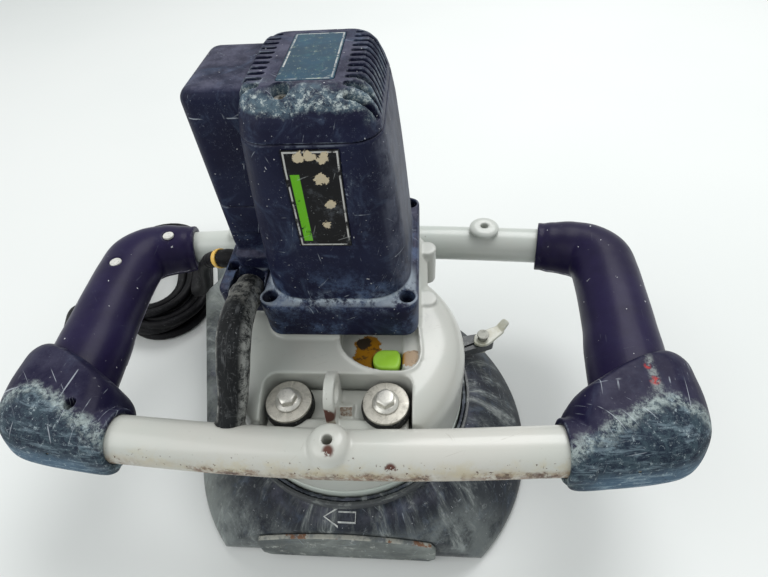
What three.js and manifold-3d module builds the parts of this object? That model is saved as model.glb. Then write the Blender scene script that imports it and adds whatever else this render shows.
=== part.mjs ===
// Upright surface grinder for walls and floors: spur-geared motor, tubular two-hand frame,
// extraction hood with brush ring, diamond cup wheel, rubber cord folded into a hank.
// Millimetres, +Z up, +X to the operator's right, +Y away from the front tube.
// Everything is laid out about the spindle axis and shifted once at the end.
import * as THREE from 'three';
import Module from 'manifold-3d';

const wasm = await Module();
wasm.setup();

// ---------------------------------------------------------------- driving dimensions
const machineMidY = 42.538;         // middle of the machine's length, from the spindle axis
const motorAxisY = 46;             // centre distance of the gear pair
const gap = 0.3;                   // air between neighbouring pieces

const wheelRadius = 75;
const drumRadius = 76.5;
const drumBase = 72;
const drumTop = 130.5;
const gearBoreRadius = 42;
const gearCeiling = 110;

const flangeBottom = 134;
const flangeTop = 163;
const capSeam = 262;
const motorTop = 281;
const boxSeam = 209;
const boxTop = 275;

const tubeRadius = 13.45;
const tubeWall = 2.5;
const frontTubeZ = 119;
const rearTubeZ = 104;

const hoodRimRadius = 129;
const hoodCutY = -93;
const hoodWall = 3;
const ductAngle = 17.6;
const ductWidth = 62;
const ductTop = 45;
const spigotRadius = 22;

const gearModule = 2;
const pinionTeeth = 12;
const gearTeeth = 34;
const lockButton = [28, -15];
const lockTravel = 3.5;

const cordRadius = 4.15;
const hankHalfWidth = 46;
const hankStraight = 54;
const hankHeight = 33.2;
const hankNear = [-216, 132];
const hankDirection = [-0.3, 0.954];

// ---------------------------------------------------------------- solids from points and faces
function makeSolid(points, faces) {
  let volume = 0;
  const a = new THREE.Vector3();
  const b = new THREE.Vector3();
  const c = new THREE.Vector3();
  for (const [i, j, k] of faces) {
    volume += a.fromArray(points[i]).dot(b.fromArray(points[j]).cross(c.fromArray(points[k])));
  }
  const flip = volume < 0;
  const triVerts = new Uint32Array(faces.flatMap(([i, j, k]) => (flip ? [i, k, j] : [i, j, k])));
  const vertProperties = new Float32Array(points.flat());
  return new wasm.Manifold(new wasm.Mesh({ numProp: 3, vertProperties, triVerts }));
}

// Closed skin over rings of equal point count; the end rings are fanned from their middles.
function loft(rings) {
  const n = rings[0].length;
  const points = rings.flat();
  const faces = [];
  for (let i = 0; i + 1 < rings.length; i++) {
    for (let j = 0; j < n; j++) {
      const k = (j + 1) % n;
      faces.push([i * n + j, i * n + k, (i + 1) * n + k]);
      faces.push([i * n + j, (i + 1) * n + k, (i + 1) * n + j]);
    }
  }
  for (const [ring, base, turn] of [[rings[0], 0, 1], [rings.at(-1), (rings.length - 1) * n, 0]]) {
    const middle = [0, 1, 2].map((axis) => ring.reduce((sum, p) => sum + p[axis], 0) / n);
    points.push(middle);
    const hub = points.length - 1;
    for (let j = 0; j < n; j++) {
      const k = (j + 1) % n;
      faces.push(turn ? [hub, base + k, base + j] : [hub, base + j, base + k]);
    }
  }
  return makeSolid(points, faces);
}

// Straight prism over any outline, without holes.
function prism(outline, z0, z1) {
  const n = outline.length;
  const points = [...outline.map(([x, y]) => [x, y, z0]), ...outline.map(([x, y]) => [x, y, z1])];
  const flat = outline.map(([x, y]) => new THREE.Vector2(x, y));
  const caps = THREE.ShapeUtils.triangulateShape(flat, []);
  const ccw = THREE.ShapeUtils.area(flat) > 0;
  const faces = [];
  for (const [i, j, k] of caps) {
    faces.push([i, k, j]);
    faces.push([n + i, n + j, n + k]);
  }
  for (let j = 0; j < n; j++) {
    const k = (j + 1) % n;
    faces.push(ccw ? [j, k, n + k] : [k, j, n + j]);
    faces.push(ccw ? [j, n + k, n + j] : [k, n + j, n + k]);
  }
  return makeSolid(points, faces);
}

// Body of revolution about a vertical axis; a profile off the axis closes on itself.
function turned(profile, segments = 32, x = 0, y = 0) {
  const points = [];
  const index = profile.map(([r, z]) => {
    const start = points.length;
    if (r < 1e-6) {
      points.push([x, y, z]);
      return [start];
    }
    const ring = [];
    for (let j = 0; j < segments; j++) {
      const t = (2 * Math.PI * j) / segments;
      points.push([x + r * Math.cos(t), y + r * Math.sin(t), z]);
      ring.push(start + j);
    }
    return ring;
  });
  const closed = profile[0][0] > 1e-6;
  const faces = [];
  const last = closed ? index.length : index.length - 1;
  for (let i = 0; i < last; i++) {
    const low = index[i];
    const high = index[(i + 1) % index.length];
    for (let j = 0; j < segments; j++) {
      const k = (j + 1) % segments;
      if (low.length > 1) faces.push([low[j], low[k], high.length > 1 ? high[k] : high[0]]);
      if (high.length > 1) faces.push([low.length > 1 ? low[j] : low[0], high[k], high[j]]);
    }
  }
  return makeSolid(points, faces);
}

function cylinder(x, y, r, z0, z1, segments = 20) {
  return turned([[0, z0], [r, z0], [r, z1], [0, z1]], segments, x, y);
}

function ring(x, y, inner, outer, z0, z1, segments = 28) {
  return turned([[inner, z0], [outer, z0], [outer, z1], [inner, z1]], segments, x, y);
}

function roundedRect(x0, x1, y0, y1, r, steps = 4) {
  const corners = [[x1 - r, y1 - r, 0], [x0 + r, y1 - r, 90], [x0 + r, y0 + r, 180], [x1 - r, y0 + r, 270]];
  const outline = [];
  for (const [cx, cy, start] of corners) {
    for (let i = 0; i <= steps; i++) {
      const t = THREE.MathUtils.degToRad(start + (90 * i) / steps);
      outline.push([cx + r * Math.cos(t), cy + r * Math.sin(t)]);
    }
  }
  return outline;
}

// Moves an outline inwards along its corner normals (anticlockwise outlines).
function inset(outline, d) {
  const n = outline.length;
  return outline.map(([x, y], i) => {
    const p = outline[(i + n - 1) % n];
    const q = outline[(i + 1) % n];
    const tx = q[0] - p[0];
    const ty = q[1] - p[1];
    const len = Math.hypot(tx, ty);
    return [x - (d * ty) / len, y + (d * tx) / len];
  });
}

function atHeight(outline, z) {
  return outline.map(([x, y]) => [x, y, z]);
}

// Upright block with softened top and bottom edges.
function softBlock(outline, z0, z1, low, high) {
  const rings = [];
  if (low > 0) {
    rings.push(atHeight(inset(outline, low), z0));
    rings.push(atHeight(inset(outline, low * 0.3), z0 + low * 0.3));
  }
  rings.push(atHeight(outline, z0 + low));
  rings.push(atHeight(outline, z1 - high));
  if (high > 0) {
    rings.push(atHeight(inset(outline, high * 0.3), z1 - high * 0.3));
    rings.push(atHeight(inset(outline, high), z1));
  }
  return loft(rings);
}

function smoothPath(points, steps) {
  const curve = new THREE.CatmullRomCurve3(points.map((p) => new THREE.Vector3(...p)));
  return curve.getPoints(steps);
}

// Round or oval bar along a path; radii are given as [across, upright] pairs along it.
function sweep(path, radii, sides = 16) {
  const rings = [];
  const up = new THREE.Vector3(0, 0, 1);
  let across = null;
  for (let i = 0; i < path.length; i++) {
    const ahead = path[Math.min(i + 1, path.length - 1)];
    const behind = path[Math.max(i - 1, 0)];
    const tangent = ahead.clone().sub(behind).normalize();
    if (across === null) {
      across = tangent.clone().cross(Math.abs(tangent.z) > 0.9 ? new THREE.Vector3(1, 0, 0) : up);
    }
    across.addScaledVector(tangent, -across.dot(tangent)).normalize();
    const upright = across.clone().cross(tangent);
    const s = (i / (path.length - 1)) * (radii.length - 1);
    const low = Math.min(Math.floor(s), radii.length - 2);
    const blend = s - low;
    const ru = radii[low][0] * (1 - blend) + radii[low + 1][0] * blend;
    const rv = radii[low][1] * (1 - blend) + radii[low + 1][1] * blend;
    const loop = [];
    for (let j = 0; j < sides; j++) {
      const t = (2 * Math.PI * j) / sides;
      const p = path[i].clone();
      p.addScaledVector(across, ru * Math.cos(t));
      p.addScaledVector(upright, rv * Math.sin(t));
      loop.push([p.x, p.y, p.z]);
    }
    rings.push(loop);
  }
  return loft(rings);
}

function evenly(r) {
  return [[r, r], [r, r]];
}

// Straight round bar between two points.
function bar(from, to, r, sides = 16) {
  return sweep([new THREE.Vector3(...from), new THREE.Vector3(...to)], evenly(r), sides);
}

function gearOutline(teeth, phase, x, y) {
  const outline = [];
  const root = (gearModule * teeth) / 2 - 1.25 * gearModule;
  const tip = (gearModule * teeth) / 2 + gearModule;
  const pitch = (2 * Math.PI) / teeth;
  for (let i = 0; i < teeth; i++) {
    for (const [share, r] of [[-0.27, root], [-0.11, tip], [0.11, tip], [0.27, root]]) {
      const t = phase + (i + share) * pitch;
      outline.push([x + r * Math.cos(t), y + r * Math.sin(t)]);
    }
  }
  return outline;
}

// ---------------------------------------------------------------- assembly and materials
const group = new THREE.Group();

function add(name, solid, color, roughness, metalness) {
  const mesh = solid.getMesh();
  const geometry = new THREE.BufferGeometry();
  geometry.setAttribute('position', new THREE.BufferAttribute(new Float32Array(mesh.vertProperties), 3));
  geometry.setIndex(new THREE.BufferAttribute(new Uint32Array(mesh.triVerts), 1));
  geometry.translate(0, -machineMidY, 0);
  geometry.computeVertexNormals();
  const material = new THREE.MeshStandardMaterial({ color, roughness, metalness });
  material.name = name;
  const part = new THREE.Mesh(geometry, material);
  part.name = name;
  group.add(part);
}

const navy = '#1d2038';
const gripPurple = '#231d3a';
const paint = '#d3d2cc';
const hoodGrey = '#3a3f48';
const steel = '#9a9b9c';
const zinc = '#a9a69c';
const rubber = '#1c1c1d';

// ---------------------------------------------------------------- tubular frame paths
const frontTubePath = smoothPath([[-160, -66, frontTubeZ], [-126, -67.5, frontTubeZ],
  [-60, -71.5, frontTubeZ], [0, -73, frontTubeZ], [60, -71.5, frontTubeZ],
  [126, -67.5, frontTubeZ], [160, -66, frontTubeZ]], 8);
const rearTubePath = smoothPath([[-162, 107, rearTubeZ], [-130, 109.5, rearTubeZ],
  [-60, 113.5, rearTubeZ], [0, 115, rearTubeZ], [60, 113.5, rearTubeZ],
  [130, 109.5, rearTubeZ], [162, 107, rearTubeZ]], 8);
const sleevePath = smoothPath([[-58, 19, 155], [-57, 2, 160], [-56, -14, 163], [-55, -27, 161],
  [-55, -38, 152], [-56, -48, 139], [-58, -56.5, 128], [-60, -63, 120]], 11);
const sleeveRadii = [[8.6, 8.6], [9.2, 9.2], [9.6, 9.6], [9.6, 9.6], [9.2, 9.2], [8.2, 8.2], [7.8, 7.8], [7.6, 7.6]];

function wider(radii, d) {
  return radii.map(([u, v]) => [u + d, v + d]);
}

// ---------------------------------------------------------------- motor envelope
function motorSections(extra) {
  return [[158, -43, 43, -1, 93, 22], [206, -39, 39, -0.6, 93, 18], [250, -34.8, 34.6, 0.3, 92, 16],
    [262, -33.6, 32.4, 2.2, 90.8, 15], [270, -33, 30, 6.5, 88.5, 14],
    [276, -32, 27.5, 12, 86, 13], [279.5, -30.8, 25, 17, 83, 12], [281, -29, 22.5, 20.5, 80.5, 11]].map(
    ([z, x0, x1, y0, y1, r]) => [z, x0 - extra, x1 + extra, y0 - extra, y1 + extra, r + extra]);
}

function motorSkin(from, to, extra) {
  const rings = motorSections(extra)
    .filter(([z]) => z >= from && z <= to)
    .map(([z, x0, x1, y0, y1, r]) => atHeight(roundedRect(x0, x1, y0, y1, r, 3), z));
  return loft(rings);
}

const flangeOutline = roundedRect(-46, 47, -6, 98, 9, 4);
const flangeScrews = [[-40.5, 3.3], [40.5, 3.3], [-40.5, 89.5], [40.5, 89.5]];
const capScrews = [[-12, 18.5, 273.5], [8, 85.5, 273.5]];
const mountBolts = [[-28.4, -44], [28.4, -44]];

// ---------------------------------------------------------------- gear housing
{
  let body = turned([[0, drumBase], [drumRadius, drumBase], [drumRadius, 108], [75, 116], [71, 123],
    [64, 128], [55, drumTop], [0, drumTop]], 36);
  const leftFlat = prism([[-90, -90], [-64, -90], [-64, 90], [-90, 90]], 82, 140);
  body = body.subtract(leftFlat);
  const tower = softBlock(roundedRect(-46, 46, -2, 97, 12, 4), 92, flangeBottom - gap, 6, 0);
  body = body.add(tower);
  const bracketPocket = prism(roundedRect(-43.5, 43.5, -110, -29, 6, 4), 100, 150);
  body = body.subtract(bracketPocket);
  const lens = [[-2, 4], [-1.5, -7], [2, -14], [8, -20], [16, -24.5], [25, -26.8], [34, -27.2], [41, -26],
    [45.5, -22.5], [47.5, -17], [47.8, -11], [47, -4], [46, 4]];
  body = body.subtract(prism(lens, 119.5, drumTop + 5.5));
  body = body.subtract(cylinder(0, 0, gearBoreRadius, drumBase - 1, gearCeiling, 24));
  body = body.subtract(cylinder(0, motorAxisY, 16.5, 78, gearCeiling, 16));
  body = body.subtract(cylinder(0, motorAxisY, 9, gearCeiling - 1, flangeBottom + 1, 14));
  body = body.subtract(cylinder(0, 0, 16.6, gearCeiling - 1, 121, 20));
  body = body.subtract(prism(roundedRect(lockButton[0] - 9.6, lockButton[0] + 9.6,
    lockButton[1] - 7.6, lockButton[1] + 7.6, 6.6, 4), 115.5, 121));
  body = body.subtract(cylinder(...lockButton, 6, 112.5, 121, 12));
  body = body.subtract(cylinder(...lockButton, 3.4, gearCeiling - 1, 121, 10));
  for (const [x, y] of mountBolts) body = body.subtract(cylinder(x, y, 3.4, 82, 101, 8));
  for (const [x, y] of flangeScrews) body = body.subtract(cylinder(x, y, 2.7, 118, 140, 8));
  body = body.subtract(sweep(frontTubePath, evenly(tubeRadius + 2.5), 10));
  add('gear_housing', body, paint, 0.35, 0.0);
}

{
  const cover = turned([[14, 46], [42, 46], [42, 57], [drumRadius + 0.2, 57],
    [drumRadius + 0.2, drumBase - gap], [44, drumBase - gap], [44, 66], [26.3, 66], [26.3, 51], [14, 51]], 40);
  add('spindle_cover', cover, paint, 0.4, 0.0);
}

// ---------------------------------------------------------------- motor
// Thin slab that follows the sloping front face of the motor, between two depths behind it.
function labelSlab(x0, x1, extra, front, back) {
  const face = [[-0.6, 206 - extra], [0.3, 250], [2.0, 260 + extra]];
  const outline = [...face.map(([y, z]) => [y + front, z]), ...face.reverse().map(([y, z]) => [y + back, z])];
  return prism(outline, x0, x1).rotate([90, 0, 90]);
}

{
  let body = softBlock(flangeOutline, flangeBottom, flangeTop, 3, 2);
  body = body.add(motorSkin(150, capSeam, 0));
  body = body.subtract(cylinder(0, motorAxisY, 31.5, 150, capSeam + 1, 24));
  body = body.subtract(cylinder(0, motorAxisY, 11.4, flangeBottom - 1, 148.8, 16));
  body = body.subtract(cylinder(0, motorAxisY, 9, 140, 151, 12));
  for (const [x, y] of flangeScrews) {
    body = body.subtract(cylinder(x, y, 4.6, 152, 178, 12));
    body = body.subtract(cylinder(x, y, 2.7, flangeBottom - 1, 153, 8));
  }
  body = body.subtract(labelSlab(-13.6, 13.9, 0.6, -4, 1.1));
  add('motor_housing', body, navy, 0.55, 0.0);
}

{
  let cap = motorSkin(capSeam, motorTop, 0).translate([0, 0, gap]);
  cap = cap.intersect(prism(roundedRect(-60, 60, -20, 120, 5, 2), capSeam, motorTop));
  cap = cap.subtract(cylinder(0, motorAxisY, 25, capSeam - 1, 273, 20));
  cap = cap.add(ring(0, motorAxisY, 11.5, 14.5, capSeam + 1, 275, 16));
  for (let i = 0; i < 12; i++) {
    const y = 21 + i * 5.6;
    const left = prism([[-36, y - 1.2], [-21, y - 1.2], [-21, y + 1.2], [-36, y + 1.2]], 271, 290);
    cap = cap.subtract(left);
  }
  for (let i = 0; i < 12; i++) {
    const y = 15 + i * 5.6;
    const right = prism([[15.5, y - 1.3], [40, y - 1.3], [40, y + 1.3], [15.5, y + 1.3]], 266, 290);
    cap = cap.subtract(right);
  }
  cap = cap.subtract(prism(roundedRect(-15.4, 11.4, 23.6, 77.4, 1.4, 2), 280.2, 290));
  for (const [x, y, z] of capScrews) {
    cap = cap.subtract(cylinder(x, y, 4.2, z, 290, 12));
    cap = cap.subtract(cylinder(x, y, 2.7, capSeam - 1, z + 1, 8));
  }
  add('motor_cap', cap, navy, 0.6, 0.0);
}

add('top_badge', prism(roundedRect(-15, 11, 24, 77, 1.2, 2), 280.5, motorTop), '#22384a', 0.4, 0.2);
add('front_label', labelSlab(-13, 13.3, 0, 0.1, 0.7), '#0c0c0e', 0.35, 0.0);

// Screw with a round head standing in a recess.
function capScrew(x, y, seat, headRadius, headHeight, shankRadius, length) {
  return turned([[0, seat - length], [shankRadius, seat - length], [shankRadius, seat + 0.2],
    [headRadius, seat + 0.2], [headRadius, seat + headHeight - 0.6], [headRadius - 0.6, seat + headHeight],
    [0, seat + headHeight]], 8, x, y);
}

['front_left', 'front_right', 'rear_left', 'rear_right'].forEach((place, i) => {
  const [x, y] = flangeScrews[i];
  add(`flange_screw_${place}`, capScrew(x, y, 152, 4.1, 4.2, 2.3, 30), '#2a2a2c', 0.45, 0.9);
});
add('cap_screw_front', capScrew(...capScrews[0], 3.8, 2.4, 2.3, 10), '#b9b7ae', 0.5, 0.8);
add('cap_screw_rear', capScrew(...capScrews[1], 3.8, 2.4, 2.3, 10), '#2f2f31', 0.5, 0.8);

// ---------------------------------------------------------------- electronics and cable entry
{
  const outline = roundedRect(-66, -20, 28, 88, 8, 4);
  const rings = [[boxSeam + gap, 0], [266, 0], [270, 1], [273, 3], [boxTop, 6.5]];
  let cover = loft(rings.map(([z, d]) => atHeight(inset(outline, d), z)));
  cover = cover.subtract(motorSkin(150, motorTop, 0.4));
  cover = cover.subtract(cylinder(0, motorAxisY, 34, 150, 300, 24));
  add('electronics_cover', cover, navy, 0.55, 0.0);

  let lower = loft([[172, 7], [176, 2], [180, 0], [boxSeam, 0]].map(([z, d]) => atHeight(inset(outline, d), z)));
  lower = lower.add(softBlock(roundedRect(-76, -30, 9, 64, 6, 4), 140, 161, 3, 3));
  lower = lower.add(softBlock(roundedRect(-65, -30, 24, 64, 5, 4), 155, 176, 3, 2));
  const slope = prism([[0, 166], [30, 176], [30, 190], [0, 190]], -90, -20)
    .rotate([90, 0, 90]);
  lower = lower.subtract(slope);
  lower = lower.subtract(motorSkin(150, motorTop, 0.4));
  lower = lower.subtract(softBlock(inset(flangeOutline, -0.4), flangeBottom - 10, flangeTop + 0.4, 0, 0));
  lower = lower.subtract(cylinder(0, motorAxisY, 44, 150, 175, 24));
  lower = lower.subtract(bar([-57, 2, 160.5], [-58.5, 27, 154], 11, 14));
  lower = lower.subtract(cylinder(-70.5, 31, 3.2, 154, 164, 12));
  lower = lower.subtract(bar([-80, 46, 152], [-62, 46, 152], 6.4, 16));
  add('cable_cover', lower, navy, 0.55, 0.0);
}

add('cable_sleeve', sweep(sleevePath, sleeveRadii, 12), '#26282a', 0.8, 0.0);

// ---------------------------------------------------------------- inside the motor
{
  let armature = turned([[0, 80], [5, 80], [5, 99], [6, 99], [6, 272.5], [0, 272.5]], 20, 0, motorAxisY);
  armature = armature.add(cylinder(0, motorAxisY, 22.5, 166, 222, 24));
  for (let i = 0; i < 8; i++) {
    const t = (i * Math.PI) / 4;
    const [x, y] = [22.5 * Math.cos(t), motorAxisY + 22.5 * Math.sin(t)];
    armature = armature.subtract(cylinder(x, y, 1.6, 160, 230, 6));
  }
  add('armature', armature, '#8d7a5a', 0.5, 0.7);
  add('pinion', prism(gearOutline(pinionTeeth, -Math.PI / 2, 0, motorAxisY), 84, 98)
    .subtract(cylinder(0, motorAxisY, 5.3, 80, 100, 20)), steel, 0.35, 0.9);
  let fan = ring(0, motorAxisY, 6.3, 28, 152, 153.5, 20);
  fan = fan.add(ring(0, motorAxisY, 6.3, 9, 153, 161, 16));
  for (let i = 0; i < 7; i++) {
    const blade = prism([[8.5, -0.8], [28, -0.8], [28, 0.8], [8.5, 0.8]], 153, 161);
    fan = fan.add(blade.rotate([0, 0, (i * 360) / 7]).translate([0, motorAxisY, 0]));
  }
  add('cooling_fan', fan, '#1a1a1c', 0.6, 0.0);
  let commutator = ring(0, motorAxisY, 6.3, 13, 230, 246, 24);
  add('commutator', commutator, '#b0703c', 0.35, 0.9);
  let stator = ring(0, motorAxisY, 24, 31, 165, 224, 24);
  stator = stator.add(ring(0, motorAxisY, 25, 30, 161.5, 166, 24));
  stator = stator.add(ring(0, motorAxisY, 25, 30, 223, 228, 24));
  add('stator', stator, '#6a5b4a', 0.6, 0.6);
  for (const [side, sign] of [['left', -1], ['right', 1]]) {
    const brush = prism(roundedRect(Math.min(sign * 13.5, sign * 27), Math.max(sign * 13.5, sign * 27),
      motorAxisY - 4, motorAxisY + 4, 1, 1), 233, 242);
    add(`carbon_brush_${side}`, brush, '#2b2b2b', 0.8, 0.1);
  }
  add('armature_bearing_lower', ring(0, motorAxisY, 6.3, 11, 138, 148.5, 24), steel, 0.25, 1.0);
  add('armature_bearing_upper', ring(0, motorAxisY, 6.3, 11, 263.5, 272, 24), steel, 0.25, 1.0);
}

// ---------------------------------------------------------------- spindle train
{
  add('spindle', turned([[0, 7], [6.9, 7], [6.9, 18.3], [20, 18.3], [20, 24], [12.5, 24], [12.5, 70],
    [10, 70], [10, 107], [8, 107], [8, 120.5], [0, 120.5]], 24), steel, 0.3, 1.0);
  const gearPhase = Math.PI / 2 + Math.PI / gearTeeth;
  add('spindle_gear', prism(gearOutline(gearTeeth, gearPhase, 0, 0), 84, 98)
    .subtract(cylinder(0, 0, 10.3, 80, 100, 24)), steel, 0.35, 0.9);
  let disc = ring(0, 0, 10.4, 37, 101, 105, 24);
  const lockAngle = Math.atan2(lockButton[1], lockButton[0]);
  const lockCircle = Math.hypot(...lockButton);
  for (let i = 0; i < 6; i++) {
    const t = lockAngle + (i * Math.PI) / 3;
    disc = disc.subtract(cylinder(lockCircle * Math.cos(t), lockCircle * Math.sin(t), 3.6, 100, 106, 8));
  }
  add('lock_disc', disc, steel, 0.4, 0.9);
  add('spindle_bearing_upper', ring(0, 0, 8.3, 16, 110.6, 120.6, 24), steel, 0.25, 1.0);
  add('spindle_bearing_lower', ring(0, 0, 12.8, 26, 51.3, 65.7, 24), steel, 0.25, 1.0);

  let wheel = turned([[11.3, 13.6], [26, 13.6], [34, 11], [50, 6.5], [56, 6.5], [56, 0.5], [wheelRadius, 0.5],
    [wheelRadius, 8], [70, 11.5], [34, 17.9], [11.3, 17.9]], 28);
  for (let i = 0; i < 6; i++) {
    const slot = prism([[52, -2], [80, -2], [80, 2], [52, 2]], 0, 5.5);
    wheel = wheel.subtract(slot.rotate([0, 0, i * 60 + 30]));
  }
  for (let i = 0; i < 4; i++) {
    const t = (i * Math.PI) / 2;
    wheel = wheel.subtract(cylinder(43 * Math.cos(t), 43 * Math.sin(t), 4, 0, 20, 8));
  }
  add('cup_wheel', wheel, '#5d6066', 0.45, 0.8);
  let nut = ring(0, 0, 7.3, 19, 8, 13.3, 20);
  for (let i = 0; i < 4; i++) {
    const t = (i * Math.PI) / 2;
    nut = nut.subtract(cylinder(14 * Math.cos(t), 14 * Math.sin(t), 2.2, 7, 11, 6));
  }
  add('clamp_nut', nut, '#4b4c50', 0.4, 0.9);
}

// ---------------------------------------------------------------- spindle lock
{
  const [x, y] = lockButton;
  const outline = [];
  for (const [px, py] of roundedRect(x - 9, x + 9, y - 7, y + 7, 6.2, 4)) {
    outline.push([px > x + 6 ? x + 6 + (px - x - 6) * 0.9 : px, py]);
  }
  const button = softBlock(outline, 119.8, 126, 0.4, 1.6).add(cylinder(x, y, 3, 106.7, 120, 16));
  add('lock_button', button, '#7ac32e', 0.4, 0.0);
  const turns = 3;
  const coil = [];
  for (let i = 0; i <= turns * 9; i++) {
    const t = (i * Math.PI) / 4.5;
    const z = 113.4 + (5.6 * i) / (turns * 9);
    coil.push(new THREE.Vector3(x + 4.6 * Math.cos(t), y + 4.6 * Math.sin(t), z));
  }
  add('lock_spring', sweep(coil, evenly(0.45), 5), steel, 0.3, 1.0);
}

// ---------------------------------------------------------------- tubular frame
{
  let tube = sweep(frontTubePath, evenly(tubeRadius), 16);
  const plate = softBlock(roundedRect(-41.5, 41.5, -78, -30.5, 5, 3), 110, 115, 0, 0.8);
  tube = tube.add(plate);
  tube = tube.add(turned([[0, 112], [12.5, 112], [11.8, 131], [10.4, 134.5], [7.5, 136.6], [4, 137.4],
    [0, 137.4]], 18, 0, -73));
  const lugProfile = [];
  for (let i = 0; i <= 8; i++) {
    const t = (Math.PI * i) / 8;
    lugProfile.push([-43.2 + 12.3 * Math.cos(t), 132.1 + 12.3 * Math.sin(t)]);
  }
  lugProfile.push([-57, 112], [-33.5, 112]);
  let lug = prism(lugProfile, -5, 1).rotate([90, 0, 90]);
  lug = lug.subtract(bar([-10, -43.2, 132.1], [10, -43.2, 132.1], 6.3, 12));
  tube = tube.add(lug);
  tube = tube.add(prism([[1, -52], [9, -52], [1, -38]], 113, 119));
  tube = tube.subtract(sweep(frontTubePath, evenly(tubeRadius - tubeWall), 8));
  tube = tube.subtract(cylinder(0, -73, 2.9, 119, 150, 12));
  for (const [x, y] of mountBolts) tube = tube.subtract(cylinder(x, y, 10.6, 105, 120, 14));
  tube = tube.subtract(sweep(sleevePath, wider(sleeveRadii, gap), 12));
  add('front_tube', tube, paint, 0.3, 0.0);
}

{
  let tube = sweep(rearTubePath, evenly(tubeRadius), 16);
  for (const x of [-97, 97]) {
    tube = tube.add(turned([[0, 108], [8, 108], [7.4, 119], [11.5, 119.6], [11.5, 122], [10, 123], [0, 123]],
      12, x, 111.5));
  }
  tube = tube.subtract(sweep(rearTubePath, evenly(tubeRadius - tubeWall), 8));
  for (const x of [-97, 97]) tube = tube.subtract(cylinder(x, 111.5, 2.9, 106, 130, 8));
  add('rear_tube', tube, paint, 0.3, 0.0);
}

mountBolts.forEach(([x, y], i) => {
  const side = ['left', 'right'][i];
  add(`buffer_${side}`, turned([[3.6, 100.3], [14, 100.3], [14, 109.6], [10, 109.7], [10, 115.3],
    [14.4, 115.4], [14.4, 121.7], [3.6, 121.7]], 14, x, y), rubber, 0.85, 0.0);
  add(`buffer_washer_${side}`, ring(x, y, 3.6, 13.2, 122, 124, 20), zinc, 0.35, 0.9);
  const hexagon = [];
  for (let k = 0; k < 6; k++) {
    const t = (k * Math.PI) / 3 + 0.2 + i * 0.35;
    hexagon.push([x + 5.8 * Math.cos(t), y + 5.8 * Math.sin(t)]);
  }
  let bolt = softBlock(hexagon, 125.5, 131.2, 0, 0.8);
  bolt = bolt.add(turned([[0, 84], [3, 84], [3, 124.3], [7.6, 124.3], [7.6, 125.4], [5.6, 126.4], [0, 126.4]],
    14, x, y));
  add(`buffer_bolt_${side}`, bolt, zinc, 0.4, 0.9);
});

// ---------------------------------------------------------------- grips and front pods
const gripCentre = [[139, 108.3, 104], [150, 106, 105], [163, 103, 106.5], [174, 97, 108], [180.5, 86, 110],
  [181, 70, 111], [179.5, 48, 112], [177.5, 22, 112], [175, 0, 112], [173.5, -18, 112], [172, -33, 112]];
const gripRadii = [[17.8, 17.8], [20, 19.5], [21.6, 20.6], [22.4, 21.2], [22.6, 21], [22.2, 20.6], [22, 20.4],
  [22.2, 20.4], [23.2, 20.8], [23.6, 21], [23.6, 21]];
const podOutline = [[160, -21], [176, -13], [190, -8], [199, -9], [205, -16], [206, -27], [206, -42], [203, -58],
  [197, -68], [187, -76], [172, -80], [150, -83], [128, -84.5], [125, -77], [125, -60], [130, -42], [146, -30]];

function mirrored(points, sign) {
  const list = points.map(([x, ...rest]) => [sign * x, ...rest]);
  return sign < 0 ? list.reverse() : list;
}

function grip(sign, extra) {
  const path = smoothPath(mirrored(gripCentre, sign), 13);
  const radii = sign < 0 ? [...gripRadii].reverse() : gripRadii;
  return sweep(path, wider(radii, extra), 16);
}

function pod(sign) {
  const curve = new THREE.CatmullRomCurve3(podOutline.map(([x, y]) => new THREE.Vector3(x, y, 0)), true);
  const outline = curve.getPoints(20).slice(0, 20).map((p) => [Math.min(p.x, 206), p.y]);
  const low = [168, -42];
  const high = [165, -30];
  const rings = [[86, 0.62, low], [90, 0.77, low], [97, 0.88, low], [104, 0.96, low], [111, 1, low],
    [118, 0.98, high], [126, 0.94, high], [130, 0.885, high], [133, 0.82, high], [137, 0.68, high],
    [139.6, 0.5, high]];
  return loft(rings.map(([z, s, middle]) => outline.map(([x, y]) => [
    sign * (middle[0] + (x - middle[0]) * s), middle[1] + (y - middle[1]) * s, z])));
}

for (const [side, sign] of [['left', -1], ['right', 1]]) {
  let handle = grip(sign, 0).subtract(sweep(rearTubePath, evenly(tubeRadius + gap), 16));
  if (sign > 0) {
    handle = handle.subtract(prism(roundedRect(166, 191, 2, 52, 4, 3), 80, 96.5));
  } else {
    handle = handle.subtract(cylinder(-154, 100.3, 4.6, 124, 140, 10));
    handle = handle.subtract(cylinder(-179.5, 64.5, 4.6, 129.5, 145, 10));
  }
  add(`${side}_grip`, handle, gripPurple, 0.5, 0.0);
  let end = pod(sign).add(bar([sign * 123.5, -67.6, frontTubeZ], [sign * 136, -67.2, frontTubeZ], 17.6, 16));
  end = end.subtract(sweep(frontTubePath, evenly(tubeRadius + gap), 16));
  end = end.subtract(grip(sign, gap));
  if (sign < 0) end = end.subtract(cylinder(-148.4, -56.9, 3.4, 128, 150, 14));
  add(`${side}_pod`, end, navy, 0.6, 0.0);
}
add('grip_stud_rear', cylinder(-154, 100.3, 4.2, 124.3, 126.3, 10), '#c9c8c2', 0.5, 0.0);
add('grip_stud_side', cylinder(-179.5, 64.5, 4.2, 129.8, 131.8, 10), '#c9c8c2', 0.5, 0.0);
{
  const paddle = softBlock(roundedRect(168, 189, 4, 50, 4, 3), 86.5, 93, 2, 0.5);
  add('switch_paddle', paddle, '#111114', 0.6, 0.0);
}

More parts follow.
